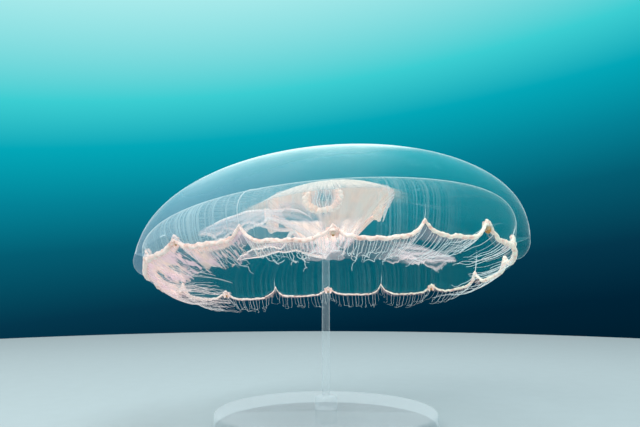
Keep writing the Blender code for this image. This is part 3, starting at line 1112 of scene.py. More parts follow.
@dataclass(frozen=True)
class Umbrella:
    """The bell: clear jelly between its domed outside and the hollow's lining, in one closed skin."""

    form: Form
    jelly: JellyFinish
    lining: LiningFinish
    each: int = 36
    dome_rows: int = 58
    curl_rows: int = 22
    edge_rows: int = 5
    wall_rows: int = 12
    shoulder_rows: int = 18
    roof_rows: int = 40
    furrow: float = 0.0004
    furrow_width: float = 0.10
    edge_bulge: float = 0.0005
    wall_power: float = 1.3
    shoulder_span: Pair = (math.radians(82.0), math.radians(40.0))
    pole: float = 0.0015
    pole_angle: float = 0.012
    chart_radius: float = 0.24

    def outer_rows(self, bearing: Array) -> Array:
        """Rows of the outside, from the crown to the rim.

        The dome is a superellipse, radius * sin(a)^(2/n) and height * cos(a)^(2/n); below the widest ring the
        wall curls in by the fourth power of its travel. Shallow furrows run up from the notches.

        Args:
            bearing: Bearings of the columns.

        Returns:
            The grid of points.
        """
        form = self.form
        groove = self.furrow * falloff(form.off_notch(bearing), self.furrow_width)
        angle = np.linspace(self.pole_angle, math.pi / 2.0, self.dome_rows)[:, None]
        power = 2.0 / form.crown_power
        radius = form.bell_radius * np.sin(angle) ** power - groove * smooth(0.6, 1.4, angle)
        dome = form.outside(radius, bearing, form.widest_level + form.crown_height * np.cos(angle) ** power)
        share = np.linspace(0.0, 1.0, self.curl_rows)[1:, None]
        foot = form.edge_level(bearing) + form.band_height / 2.0
        radius = between((form.bell_radius, form.rim_radius), share**form.curl_power) - groove
        drift = form.lean * form.widest_level * (1.0 - share)
        curl = form.polar(radius, bearing, between((form.widest_level, foot), share), drift)
        turn = np.linspace(0.0, math.pi, self.edge_rows)[1:, None]
        inward = 0.5 - 0.5 * np.cos(turn)
        radius = form.rim_radius - form.rim_wall * inward - groove * (1.0 - inward)
        edge = form.inside(radius, bearing, foot - self.edge_bulge * np.sin(turn))
        return np.concatenate([dome, curl, edge])

    def inner_rows(self, bearing: Array) -> Array:
        """Rows of the lining, from the rim up the wall and in under the roof to its pole.

        Args:
            bearing: Bearings of the columns.

        Returns:
            The grid of points.
        """
        form = self.form
        foot = form.edge_level(bearing) + form.band_height / 2.0
        angle = np.linspace(*self.shoulder_span, self.shoulder_rows)
        shoulder = form.ceiling_radius * np.sin(angle) ** (2.0 / form.ceiling_power)
        inner = np.linspace(shoulder[-1], self.pole, self.roof_rows + 1)[1:]
        radius = np.concatenate([shoulder, inner])[:, None]
        roof = form.inside(radius, bearing, form.ceiling(radius, bearing))
        share = np.linspace(0.0, 1.0, self.wall_rows)[1:-1, None]
        radius = between((form.rim_radius - form.rim_wall, shoulder[0]), np.sin(share * math.pi / 2.0))
        height = between((foot, form.ceiling(shoulder[0], bearing)), share**self.wall_power)
        return np.concatenate([form.inside(radius, bearing, height), roof])

    def charts(self, bearing: Array, outer: int, inner: int) -> list[Array]:
        """A round chart of the outside and one of the lining, with a place on each for every point.

        Args:
            bearing: Bearings of the columns.
            outer: Rows of the outside.
            inner: Rows of the lining.

        Returns:
            The two charts; the skin's two poles come last in each.
        """
        rows = outer + inner
        row = np.repeat(np.arange(rows), len(bearing))
        turn = np.tile(bearing, rows)
        around = np.stack([np.sin(turn), -np.cos(turn)], axis=-1)
        charts = []
        for middle, share in ((0.25, row / (outer - 1.0)), (0.75, (rows - row) / (inner + 1.0))):
            disc = np.array([middle, 0.5]) + self.chart_radius * np.clip(share, 0.0, 1.0)[:, None] * around
            charts.append(np.concatenate([disc, [[middle, 0.5]] * 2]))
        return charts

    def build(self) -> None:
        """Makes the bell's skin, its outside in jelly and its inside in lining."""
        form = self.form
        bearing = form.columns(self.each)
        outer, inner = self.outer_rows(bearing), self.inner_rows(bearing)
        columns = len(bearing)
        crown = form.place(form.outside(0.0, 0.0, form.widest_level + form.crown_height))
        roof = form.place(form.inside(0.0, 0.0, form.ceiling(0.0, 0.0)))
        points = form.place(np.concatenate([outer, inner]))
        shape = Surface.grid(points, True).closed_at_poles(columns, crown, roof)
        strips = np.repeat(np.arange(len(outer) + len(inner) - 1) >= len(outer) - 1, columns)
        caps = np.repeat([False, True], columns)
        lined = np.concatenate([np.repeat(strips, 4), np.repeat(caps, 3)])
        corners = shape.corners()
        outside, under = self.charts(bearing, len(outer), len(inner))
        add_piece(
            "bell_skin", shape, [self.jelly.make(form), self.lining.make(form)], ["bell"],
            np.concatenate([strips, caps]), np.where(lined[:, None], under[corners], outside[corners]),
        )


@dataclass(frozen=True)
class Canals:
    """The gut's canals: eight branching trees, and eight straight canals between them."""

    form: Form
    finish: TissueFinish
    umbrella: Umbrella
    count: int = 8
    levels: tuple[float, ...] = (0.056, 0.070, 0.085, 0.101, 0.119, 0.1372)
    spread: tuple[float, ...] = (0.0, 0.055, 0.115, 0.165, 0.178)
    thick: tuple[float, ...] = (0.00042, 0.00036, 0.00030, 0.00025, 0.00020)
    jitter: float = 0.12
    waver: float = 0.004
    straight_thick: Pair = (0.00042, 0.00030)
    straight_rows: int = 50
    bright: int = 7
    steps: int = 12
    depth: float = 0.0003
    flat: float = 0.5

    def branches(self, level: int, parents: Array) -> tuple[Surface, Array]:
        """One level of all the trees, each branch easing from its parent's bearing to its own.

        Args:
            level: How many times the trees have forked.
            parents: Bearings of the branches below.

        Returns:
            The branches, fainter on the near right and far out, and their bearings.
        """
        form, count, share = self.form, 2**level, np.linspace(0.0, 1.0, self.steps)
        offset = self.spread[level] * (2.0 * np.arange(count) + 1.0 - count) / count
        stray = chance(np.arange(self.count * count)[:, None], 3.0 + level) - 0.5
        trunks = np.arange(self.count)[:, None] * TURN / self.count
        own = (trunks + offset).reshape(-1) + self.jitter * self.spread[level] * stray
        start = np.repeat(parents, len(own) // len(parents))[:, None]
        radius = between(self.levels[level:level + 2], share)
        bearing = start + (own[:, None] - start) * smooth(0.0, 0.8, share)
        bearing = bearing + self.waver * np.sin(share * 9.0 + own[:, None] * 31.0) * np.sin(share * math.pi)
        paths = form.place(form.inside(radius, bearing, form.ceiling(radius, bearing) - self.depth))
        thick = np.broadcast_to(self.thick[level] * (1.0 - 0.2 * share), bearing.shape)
        faint = np.maximum(0.85 * about(bearing, 105.0, 62.0, 4.0) * smooth(0.070, 0.098, radius),
                           0.7 * smooth(0.095, 0.12, radius))
        return threads(paths, thick, 6, self.flat, lip=0.0, window=faint, fold=0.0), own

    def straights(self) -> Surface:
        """The unbranched canals, from the plain notches up the lining: white feet, and half of one white.

        Returns:
            The canals.
        """
        bearing = (np.arange(self.count) + 0.5) * TURN / self.count
        paths = self.form.place(np.moveaxis(self.umbrella.inner_rows(bearing)[: self.straight_rows], 1, 0))
        share = np.linspace(0.0, 1.0, self.straight_rows)
        thick = np.broadcast_to(between(self.straight_thick, share), paths.shape[:2])
        long = (np.arange(self.count)[:, None] == self.bright) * smooth(0.6, 0.4, share)
        tall = 0.16 + 0.10 * np.abs(np.sin(bearing / 2.0))[:, None]
        white = np.maximum(long, 0.8 * smooth(tall, tall - 0.14, share))
        return threads(paths, thick, 8, self.flat, lip=white, window=0.6 - 0.6 * white, fold=0.0)

    def build(self) -> None:
        """Makes all the canals as one piece."""
        parts, bearing = [], np.arange(self.count) * TURN / self.count
        for level in range(len(self.spread)):
            part, bearing = self.branches(level, bearing)
            parts.append(part)
        shape = Surface.joined([*parts, self.straights()])
        add_piece("canals", shape, [self.finish.make(self.form)], [])


@dataclass(frozen=True)
class Margin:
    """The granular band of flesh round the rim, thicker on the flanks and thinner at the far side."""

    form: Form
    finish: GranularFinish
    each: int = 60
    around: int = 22
    grain: float = 0.0019
    grain_height: float = 0.0013
    grain_level: float = 0.62
    wander: float = 0.0005
    wander_cells: float = 40.0
    thickness: float = 1.05
    left_swell: float = 0.9
    right_swell: float = 0.55
    far_shrink: float = 0.52
    fill: Pair = (0.44, 0.40)

    def build(self) -> None:
        """Makes the band: a closed ring, oval in section, its grains standing out along its normals."""
        form = self.form
        bearing = form.columns(self.each)
        turn = np.arange(self.around)[:, None] * TURN / self.around
        swell = self.thickness + self.left_swell * about(bearing, -80.0, 36.0)
        swell = swell + self.right_swell * about(bearing, 88.0, 24.0)
        swell = swell - self.far_shrink * about(bearing, FAR, 62.0, 4.0)
        shift = self.wander * clouds(stacked(bearing * self.wander_cells, 0.0, 0.0), 2.0)
        middle = form.rim_radius - form.band_width / 2.0
        level = form.rim_level(bearing)
        radius = middle + shift + swell * form.band_width * self.fill[0] * np.cos(turn)
        height = level + shift + swell * form.band_height * self.fill[1] * np.sin(turn)
        points = form.inside(radius, bearing, height)
        grain = granules(points / self.grain, 1.0)
        out = unit(points - form.inside(middle, bearing, level))
        points = points + out * self.grain_height * (grain[..., None] - self.grain_level)
        shape = Surface.grid(form.place(points), True, True, grain=grain)
        nodes = [f"margin_{number + 1:02d}" for number in range(form.scallops)]
        add_piece("margin_band", shape, [self.finish.make(form)], nodes)


@dataclass(frozen=True)
class Veil:
    """The thin sheet inside the margin: a narrow hem, broad at the left, with a flap under each plain notch.

    Each gap is a place where the sheet's slits open: bearing, share of the breadth, and its width in degrees
    and in shares.
    """

    form: Form
    finish: VeilFinish
    each: int = 48
    rows: int = 13
    hem: float = 0.0035
    sheet: float = 0.019
    sheet_bearing: float = -64.0
    sheet_width: float = 42.0
    gaps: tuple[tuple[float, float, float, float], ...] = (
        (-28.0, 0.52, 5.5, 0.38), (-44.0, 0.60, 5.0, 0.24), (-60.0, 0.55, 7.0, 0.17))
    gap_slope: float = 0.7
    far_share: float = 0.35
    flap: float = 0.0045
    flap_width: float = 0.14
    flap_power: float = 1.3
    fall: float = 0.62
    flap_fall: float = 0.5
    wave: float = 0.0011
    wave_cells: Pair = (34.0, 2.0)
    thickness: float = 0.00035

    def gap(self, bearing: Array, share: Array) -> Array:
        """1 where the slits are open: in the gaps, which slant, and along the free edge.

        Args:
            bearing: Bearings of the columns.
            share: Shares of the breadth.

        Returns:
            How open the slits are, 0 to 1.
        """
        gap = 0.8 * smooth(0.78, 1.0, share)
        for middle, level, width, depth in self.gaps:
            slanted = share - level - self.gap_slope * away(bearing, middle)
            gap = gap + about(bearing, middle, width, 4.0) * falloff(slanted, depth, 4.0)
        return np.clip(gap, 0.0, 1.0)

    def build(self) -> None:
        """Makes the sheet: at a share s it has gone inwards by its breadth * s and down by fall * that."""
        form = self.form
        bearing = form.columns(self.each)
        share = np.linspace(0.0, 1.0, self.rows)[:, None]
        broad = about(bearing, self.sheet_bearing, self.sheet_width, 4.0)
        flap = self.flap * falloff(form.off_plain(bearing), self.flap_width, self.flap_power)
        narrow = 1.0 - (1.0 - self.far_share) * about(bearing, FAR, 70.0, 4.0)
        breadth = (self.hem + flap) * narrow + self.sheet * broad
        along, across = self.wave_cells
        folds = stacked(bearing * along + share, share * across, 0.0)
        ripple = self.wave * clouds(folds, 9.0) * share * (1.0 + 60.0 * self.sheet * broad)
        radius = form.rim_radius - form.band_width * 0.8 - breadth * share
        down = form.band_height * 0.3 + self.fall * breadth * share**0.8 + self.flap_fall * flap * share
        height = form.rim_level(bearing) - down + ripple
        points = form.place(form.inside(radius, bearing + ripple * 3.0, height))
        turn, gap = bearing * form.rim_radius, self.gap(bearing, share)
        sheet = Surface.grid(points, True, turn=turn, reach=share, gap=gap, broad=broad)
        add_piece("veil", sheet.thickened(self.thickness), [self.finish.make(form)], [])


@dataclass(frozen=True)
class Fringe:
    """The tentacles: fine threads from the margin's underside that sweep inwards and curl at their tips.

    Counts are for the near, right, far and left quarters. Lengths are shares of the fringe's reach; a few
    threads are long, and those of the fan on the left are longer than their neighbours.
    """

    form: Form
    finish: ThreadFinish
    counts: tuple[int, int, int, int] = (110, 46, 66, 80)
    steps: int = 22
    sides: int = 4
    thickness: Pair = (0.00024, 0.00013)
    thickness_spread: Pair = (0.6, 1.5)
    lengths: Pair = (0.55, 1.12)
    long_share: float = 0.05
    long_length: float = 1.45
    longest: float = 1.7
    fan: float = 0.75
    fan_bearing: float = -94.0
    fan_width: float = 24.0
    sway: float = 0.0045
    own_sway: float = 0.0016
    curl: float = 0.0015
    curl_turns: Pair = (0.8, 2.6)
    hook: float = 0.0026
    patch: float = 0.003

    def threads_of(self, quarter: Quarter) -> tuple[Surface, Array]:
        """The tentacles of one quarter of the rim.

        A thread's path is the fringe's travel at share * length, swayed sideways by share^1.6, with a coil
        that widens by share^2 and a hook over its last quarter. Coils and hooks are calmer on the right.

        Args:
            quarter: The quarter of the rim.

        Returns:
            The threads, and each thread's root bearing.
        """
        form = self.form
        count = self.counts[quarter.value]
        index = np.arange(count)[:, None] + 1000.0 * quarter.value
        own = [chance(index, 5.0 + 3.3 * field)[:, None] for field in range(7)]
        shift, size, rare, lean, winding, start, girth = own
        place = (np.arange(count)[:, None] + 0.2 + 0.6 * shift) / count
        bearing = ((quarter.value - 0.5) + place) * TURN / 4.0
        share = np.linspace(0.0, 1.0, self.steps)
        length = np.where(rare < self.long_share, self.long_length, between(self.lengths, size))
        length = length * (1.0 + self.fan * about(bearing, self.fan_bearing, self.fan_width))
        inward, down = form.fringe(bearing, share * np.minimum(length, self.longest))
        sway = self.sway * clouds(stacked(bearing * 5.0, 0.0, 0.0), 4.0) + self.own_sway * (lean - 0.5) * 2.0
        calm = 1.0 - 0.65 * about(bearing, 83.0, 34.0)
        angle = TURN * (between(self.curl_turns, winding) * share**1.4 + start)
        coil = self.curl * (0.4 + girth) * share**2 * calm
        hook = self.hook * calm * smooth(0.72, 1.0, share) * np.where(lean > 0.5, 1.0, -1.0)
        sideways = sway * share**1.6 + coil * np.cos(angle) + hook
        root = form.rim_level(bearing) - form.band_height / 2.0 + 0.0004
        height = root - down + coil * np.sin(angle) * 0.8 + np.abs(hook) * 0.7 * start
        radius = form.rim_radius - 0.6 * form.band_width - inward
        paths = form.place(form.inside(radius, bearing + sideways / form.rim_radius, height))
        fine = (1.0 - 0.62 * about(bearing, FAR, 66.0, 4.0) - 0.3 * about(bearing, 52.0, 46.0, 4.0)
                - 0.35 * about(bearing, -50.0, 34.0, 4.0))
        thick = between(self.thickness, share) * between(self.thickness_spread, girth) * fine
        pink = 0.7 * winding**2 * (1.0 - 0.8 * about(bearing, FAR, 60.0)) + about(bearing, -85.0, 42.0)
        return threads(paths, thick, self.sides, along=share, tint=np.clip(pink, 0.0, 1.0)), bearing[:, 0]

    def build(self) -> None:
        """Makes each quarter's tentacles as one piece, each thread a small patch of the rim's round chart."""
        finish = self.finish.make(self.form)
        for quarter in Quarter:
            shape, bearing = self.threads_of(quarter)
            root = 0.5 + 0.45 * np.stack([np.sin(bearing), -np.cos(bearing)], axis=-1)
            cell = np.arange(len(shape.points) // len(bearing))
            around, along = cell % self.sides / self.sides, cell // self.sides / (self.steps + 1.0)
            chart = (root[:, None] + self.patch * (np.stack([around, along], -1) - 0.5)).reshape(-1, 2)
            name = f"tentacles_{quarter.name.lower()}"
            add_piece(name, shape, [finish], [], None, chart[shape.corners()])


@dataclass(frozen=True)
class Arm:
    """One oral arm: its bearing, (distance, height) at its root, middle and tip, and its curtain's depth.

    Borders are the bearings of its quarter of the mouth, and corners the mouth's heights there. The lip on
    the low border's side is held up by tuck, a share of the depth, the other lip arches up by arch near the
    root, and ridge and edge are how white the midrib and the lips are. Over the share bare of its length it
    is glass clear, and calm is how much its ruffles and frills are smoothed.
    """

    name: str
    bearing: float
    root: Pair
    middle: Pair
    tip: Pair
    depth: float
    borders: Pair
    corners: Pair = (0.016, 0.016)
    tuck: float = 0.0
    arch: float = 0.0
    ridge: float = 0.0
    edge: float = 1.0
    bare: float = 0.0
    calm: float = 0.0

    @property
    def turn(self) -> float:
        """The arm's bearing in radians."""
        return math.radians(self.bearing)

    def midrib(self, along: Array) -> tuple[Array, Array]:
        """Distance from the axis and height along the midrib, a quadratic curve.

        Args:
            along: Share of the arm's length.

        Returns:
            The distances and the heights.
        """
        weights = ((1.0 - along) ** 2, 2.0 * along * (1.0 - along), along**2)
        ends = (self.root, self.middle, self.tip)
        return tuple(sum(weight * end[axis] for weight, end in zip(weights, ends)) for axis in (0, 1))


ARMS = (
    Arm("near_left", -56.0, (0.0500, 0.0475), (0.0840, 0.0440), (0.1100, 0.0230), 0.016, (-92.0, -1.0),
        corners=(0.038, 0.016), tuck=0.45, arch=0.0055, ridge=1.0, edge=0.4),
    Arm("near_right", 54.0, (0.0245, 0.0250), (0.0650, 0.0220), (0.1050, -0.0020), 0.014, (-1.0, 91.0),
        edge=0.1, bare=0.62),
    Arm("far_right", 128.0, (0.0245, 0.0260), (0.0600, 0.0380), (0.1000, 0.0240), 0.010, (91.0, 180.0),
        edge=0.3, bare=0.82),
    Arm("far_left", -128.0, (0.0245, 0.0260), (0.0620, 0.0450), (0.1040, 0.0290), 0.006, (-180.0, -92.0),
        corners=(0.016, 0.038), calm=0.65),
)


@dataclass(frozen=True)
class OralTissue:
    """Manubrium and oral arms as one sheet: a lobed funnel whose mouth splits into four frilled gutters."""

    form: Form
    finish: TissueFinish
    lips: ThreadFinish
    across: int = 64
    funnel_rows: int = 34
    arm_rows: int = 120
    mouth_radius: float = 0.0165
    mouth_height: float = 0.014
    flank_height: float = 0.042
    flare: float = 0.033
    flare_power: float = 1.6
    lobes: Pair = (0.22, 0.06)
    roof_height: float = 0.0560
    roof_gap: float = 0.0006
    pleats: int = 13
    fine_pleats: int = 31
    pleat_height: float = 0.0007
    fade: float = 0.24
    arch_fade: float = 45.0
    half_width: float = 0.0065
    half_swell: float = 0.0060
    crease: float = 0.00045
    ruffles: float = 3.5
    ruffle_height: float = 0.0017
    frills: float = 15.0
    frill_height: float = 0.0006
    thickness: float = 0.0010
    lip_thickness: float = 0.0006
    window_height: float = 0.0485
    window_size: Pair = (0.0100, 0.0080)
    window_radius: float = 0.045
    window_turn: float = math.radians(5.0)
    throat_columns: int = 96
    throat_rows: int = 22
    throat_radius: float = 0.0166
    throat_heights: Pair = (0.0275, 0.0157)
    papillae: int = 70
    papilla: float = 0.0010
    papilla_thickness: Pair = (0.00016, 0.00008)
    first_papilla: int = 14
    ridge_radius: float = 0.00045

    @property
    def places(self) -> Array:
        """Places across a quarter of the funnel or an arm's gutter, from -1 to 1."""
        return np.linspace(-1.0, 1.0, self.across + 1)

    def flank_share(self, height: Array) -> Array:
        """How far a height is up from the mouth to the stomach, 0 to 1, and a little past it."""
        return np.clip((height - self.mouth_height) / self.flank_height, 0.0, 1.3)

    def flank_radius(self, height: Array) -> Array:
        """The funnel's radius without its lobes: mouth + flare * share^1.6."""
        return self.mouth_radius + self.flare * self.flank_share(height) ** self.flare_power

    def flank(self, bearing: Array, height: Array) -> Array:
        """Points of the funnel's flank: its lobes deepen towards the mouth, and pleats run down it.

        Args:
            bearing: Bearing round the funnel.
            height: Height over the rim plane.

        Returns:
            Points in the animal's frame.
        """
        share = np.clip(self.flank_share(height), 0.0, 1.0)
        lobes = 1.0 - between(self.lobes, share) * np.cos(4.0 * bearing)
        fold = np.sin(self.pleats * bearing + 1.5 * np.sin(3.0 * bearing) + 40.0 * height)
        fold = fold + 0.5 * np.sin(self.fine_pleats * bearing - 90.0 * height)
        pleat = self.pleat_height * fold * (1.0 - 0.7 * share)
        return self.form.inside(self.flank_radius(height) * lobes + pleat, bearing, height)

    def attachment(self, bearing: Array) -> Array:
        """Height at which the funnel's flank meets the roof: its radius and the roof's height agree there.

        Args:
            bearing: Bearing round the funnel.

        Returns:
            Height over the rim plane.
        """
        height = np.full_like(bearing, self.roof_height)
        for _ in range(12):
            height = (height + self.form.ceiling(self.flank_radius(height), bearing)) / 2.0
        return height - self.roof_gap

    def spread(self, arm: Arm) -> tuple[Array, Array]:
        """Bearings across an arm's quarter of the funnel, and the height where arm and funnel meet.

        Args:
            arm: The arm.

        Returns:
            The bearings and the heights, from border to border.
        """
        low, high = np.radians(arm.borders)
        middle = (low + high) / 2.0
        bearing = middle + (high - low) / 2.0 * self.places + (arm.turn - middle) * (1.0 - self.places**2)
        corner = np.where(self.places < 0.0, *arm.corners)
        return bearing, arm.root[1] + (corner - arm.root[1]) * np.abs(self.places) ** 3.0

    def gutter(self, arm: Arm) -> tuple[Array, Array]:
        """Points and lip values of one arm.

        The curtain hangs from the midrib by |across|^1.4, swells along half a sine wave, and its lips carry
        slow ruffles and fine frills. The root eases into the funnel's ring.

        Args:
            arm: The arm.

        Returns:
            The grid of points, and how much of each is lip.
        """
        along, place = np.meshgrid(np.linspace(0.0, 1.0, self.arm_rows), self.places, indexing="ij")
        outer = np.abs(place)
        distance, height = arm.midrib(along)
        swell = np.sin(math.pi * np.clip(0.12 + 0.80 * along, 0.0, 1.0))
        taper = 1.0 - 0.78 * smooth(0.78, 1.0, along)
        phase = np.where(place > 0.0, 0.0, 2.1)
        wave = np.sin(TURN * self.ruffles * along + phase) * place**2
        frill = np.sin(TURN * self.frills * along + 2.0 * phase + 1.8 * wave + arm.turn)
        frill = frill * outer**4 * smooth(0.05, 0.2, along)
        crease = np.sin(9.0 * place + 3.0 * np.sin(7.0 * along)) * self.crease * swell
        tuck = np.where(place < 0.0, 1.0 - arm.tuck, 1.0)
        hang = arm.depth * (0.55 + 0.45 * swell) * outer**1.4 * taper * tuck
        rise = arm.arch * falloff(along - 0.13, 0.13) * smooth(0.2, 1.0, place)
        half = (self.half_width + self.half_swell * swell) * taper
        side = half * place * (1.0 + 0.10 * wave + 0.08 * frill)
        edging = (self.ruffle_height * wave + self.frill_height * frill) * taper * (1.0 - arm.calm)
        height = height - hang + rise + crease + edging
        free = self.form.inside(distance, arm.turn + side / distance, height)
        ring = self.flank(*self.spread(arm))
        fade = self.fade * (1.0 - self.arch_fade * arm.arch * smooth(0.0, 1.0, place))
        ease = 1.0 - smooth(0.0, fade, along)[..., None]
        crest = falloff(place, 0.08) * smooth(1.0, 0.85, along)
        crest = np.maximum(crest, falloff(along, 0.02) * smooth(0.75, 0.35, place) * (place > 0.0))
        lip = np.maximum(smooth(0.86, 1.0, outer) * arm.edge, arm.ridge * crest)
        return free + (ring - free[0]) * ease, lip

    def window(self, bearing: Array, height: Array) -> Array:
        """1 over the thin wall in front of each gonad, falling to 0 round it.

        Args:
            bearing: Bearing round the funnel.
            height: Height over the rim plane.

        Returns:
            How thin the wall is, 0 to 1.
        """
        wide, tall = self.window_size
        turn = (bearing + self.window_turn + math.pi / 4.0) % (math.pi / 2.0) - math.pi / 4.0
        off = (turn * self.window_radius / wide) ** 2 + ((height - self.window_height) / tall) ** 2
        return falloff(off, 1.0)

    def funnel(self, arm: Arm) -> Surface:
        """An arm's quarter of the funnel, clear in its window, at the roof and above its foot.

        Args:
            arm: The arm.

        Returns:
            The open sheet, in the animal's frame.
        """
        bearing, level = self.spread(arm)
        share = np.linspace(0.0, 1.0, self.funnel_rows)[:, None]
        height = between((self.attachment(bearing), level), share)
        ends = np.maximum(0.92 * smooth(0.46, 0.86, share), 0.8 * smooth(0.10, 0.0, share))
        edge = falloff(1.0 - share, 0.05) * smooth(0.7, 0.95, np.abs(self.places))
        fold = 0.5 + 0.5 * np.sin(28.0 * bearing + 2.0 * np.sin(5.0 * bearing) + 60.0 * height)
        window = np.maximum(self.window(bearing, height), ends)
        return Surface.grid(self.flank(bearing, height), False, lip=edge, window=window, fold=fold)

    def curtain(self, arm: Arm) -> Surface:
        """An arm's gutter, thin but for its lips, and clear as glass over its bare share.

        Args:
            arm: The arm.

        Returns:
            The open sheet, in the animal's frame.
        """
        points, lip = self.gutter(arm)
        along = np.linspace(0.0, 1.0, self.arm_rows)[:, None]
        clear = smooth(arm.bare + 0.10, arm.bare - 0.30, along) if arm.bare else 0.0 * along
        lip = lip * (1.0 - 0.85 * clear)
        thin = (0.90 + (0.09 if arm.bare else 0.06) * smooth(0.0, 0.2, along)) * (1.0 - lip)
        thin = thin + (1.02 - thin) * clear
        fold = (0.5 + 0.5 * np.sin(26.0 * np.abs(self.places) + 3.0 * np.sin(9.0 * along))) * (1.0 - clear)
        return Surface.grid(points, False, lip=lip, window=thin, fold=fold)

    def throat(self) -> Surface:
        """The mouth's roof, a cup over the rod's end.

        Returns:
            The open sheet, in the animal's frame.
        """
        bearing = np.arange(self.throat_columns) * TURN / self.throat_columns
        share = np.linspace(0.03, 1.0, self.throat_rows)[:, None]
        radius = self.throat_radius * share * (1.0 - 0.20 * smooth(0.4, 1.0, share) * np.cos(4.0 * bearing))
        height = between(self.throat_heights, smooth(0.15, 1.0, share))
        height = height + 0.0004 * np.sin(12.0 * bearing) * share
        return Surface.grid(self.form.inside(radius, bearing, height), True, lip=0.0, window=0.9, fold=0.5)

    def papilla_threads(self, arm: Arm, points: Array) -> list[Surface]:
        """Short threads along an arm's two lips, leaning down and away from the gutter.

        Args:
            arm: The arm.
            points: Its gutter's grid of points.

        Returns:
            The threads of each lip.
        """
        share = np.linspace(0.0, 1.0, 6)
        start = self.first_papilla + max(arm.bare, 0.3 * arm.ridge) * self.arm_rows
        rows = np.unique(np.linspace(start, self.arm_rows - 3, self.papillae).astype(int))
        parts = []
        for edge, inner in ((0, 3), (-1, -4)):
            root = points[rows, edge]
            out = unit(root - points[rows, inner])[:, None]
            own = chance(rows[:, None] + edge * 3.0, arm.depth * 900.0)[:, None, None]
            size = self.papilla * (0.4 + 0.9 * own) * (1.0 - 0.8 * arm.calm)
            bend = stacked(np.sin(own[..., 0] * 40.0), np.cos(own[..., 0] * 40.0), -1.0)
            path = root[:, None] + out * size * share[:, None] + 0.5 * size * bend * share[:, None] ** 2
            thick = np.broadcast_to(between(self.papilla_thickness, share), path.shape[:2])
            parts.append(threads(self.form.place(path), thick, 4, along=share, tint=own[..., 0]))
        return parts

    def ridge_thread(self, points: Array) -> Surface:
        """The line of a white midrib, from the funnel's ring out along a gutter's grid of points.

        Args:
            points: The gutter's grid of points.

        Returns:
            The thread.
        """
        middle = self.across // 2
        start = points[0, middle + middle * 2 // 3: middle: -1]
        path = self.form.place(np.concatenate([start, points[: self.arm_rows * 9 // 10, middle]]))[None]
        along = np.linspace(0.0, 1.0, path.shape[1])
        thick = (self.ridge_radius * np.sin(math.pi * (0.1 + 0.85 * along)) ** 0.5)[None]
        return threads(path, thick, 8, along=along, tint=0.6)

    def build(self) -> None:
        """Makes the tissue and the threads on its lips; grids that meet share the points of their edge."""
        form = self.form
        grids, lines = [], []
        for arm in ARMS:
            grids += [self.funnel(arm), self.curtain(arm)]
            points, _ = self.gutter(arm)
            lines += self.papilla_threads(arm, points)
            if arm.ridge:
                lines.append(self.ridge_thread(points))
        sheet = Surface.joined(grids).welded()
        shell = sheet.thickened(between((self.thickness, self.lip_thickness), sheet.values["lip"]))
        shape = Surface.joined([shell, self.throat().thickened(self.thickness)])
        shape.points = form.place(shape.points)
        nodes = ["manubrium", *(f"oral_arm_{arm.name}_{half}" for arm in ARMS for half in ("upper", "lower"))]
        add_piece("oral_tissue", shape, [self.finish.make(form)], nodes)
        add_piece("lip_threads", Surface.joined(lines), [self.lips.make(form)], [])


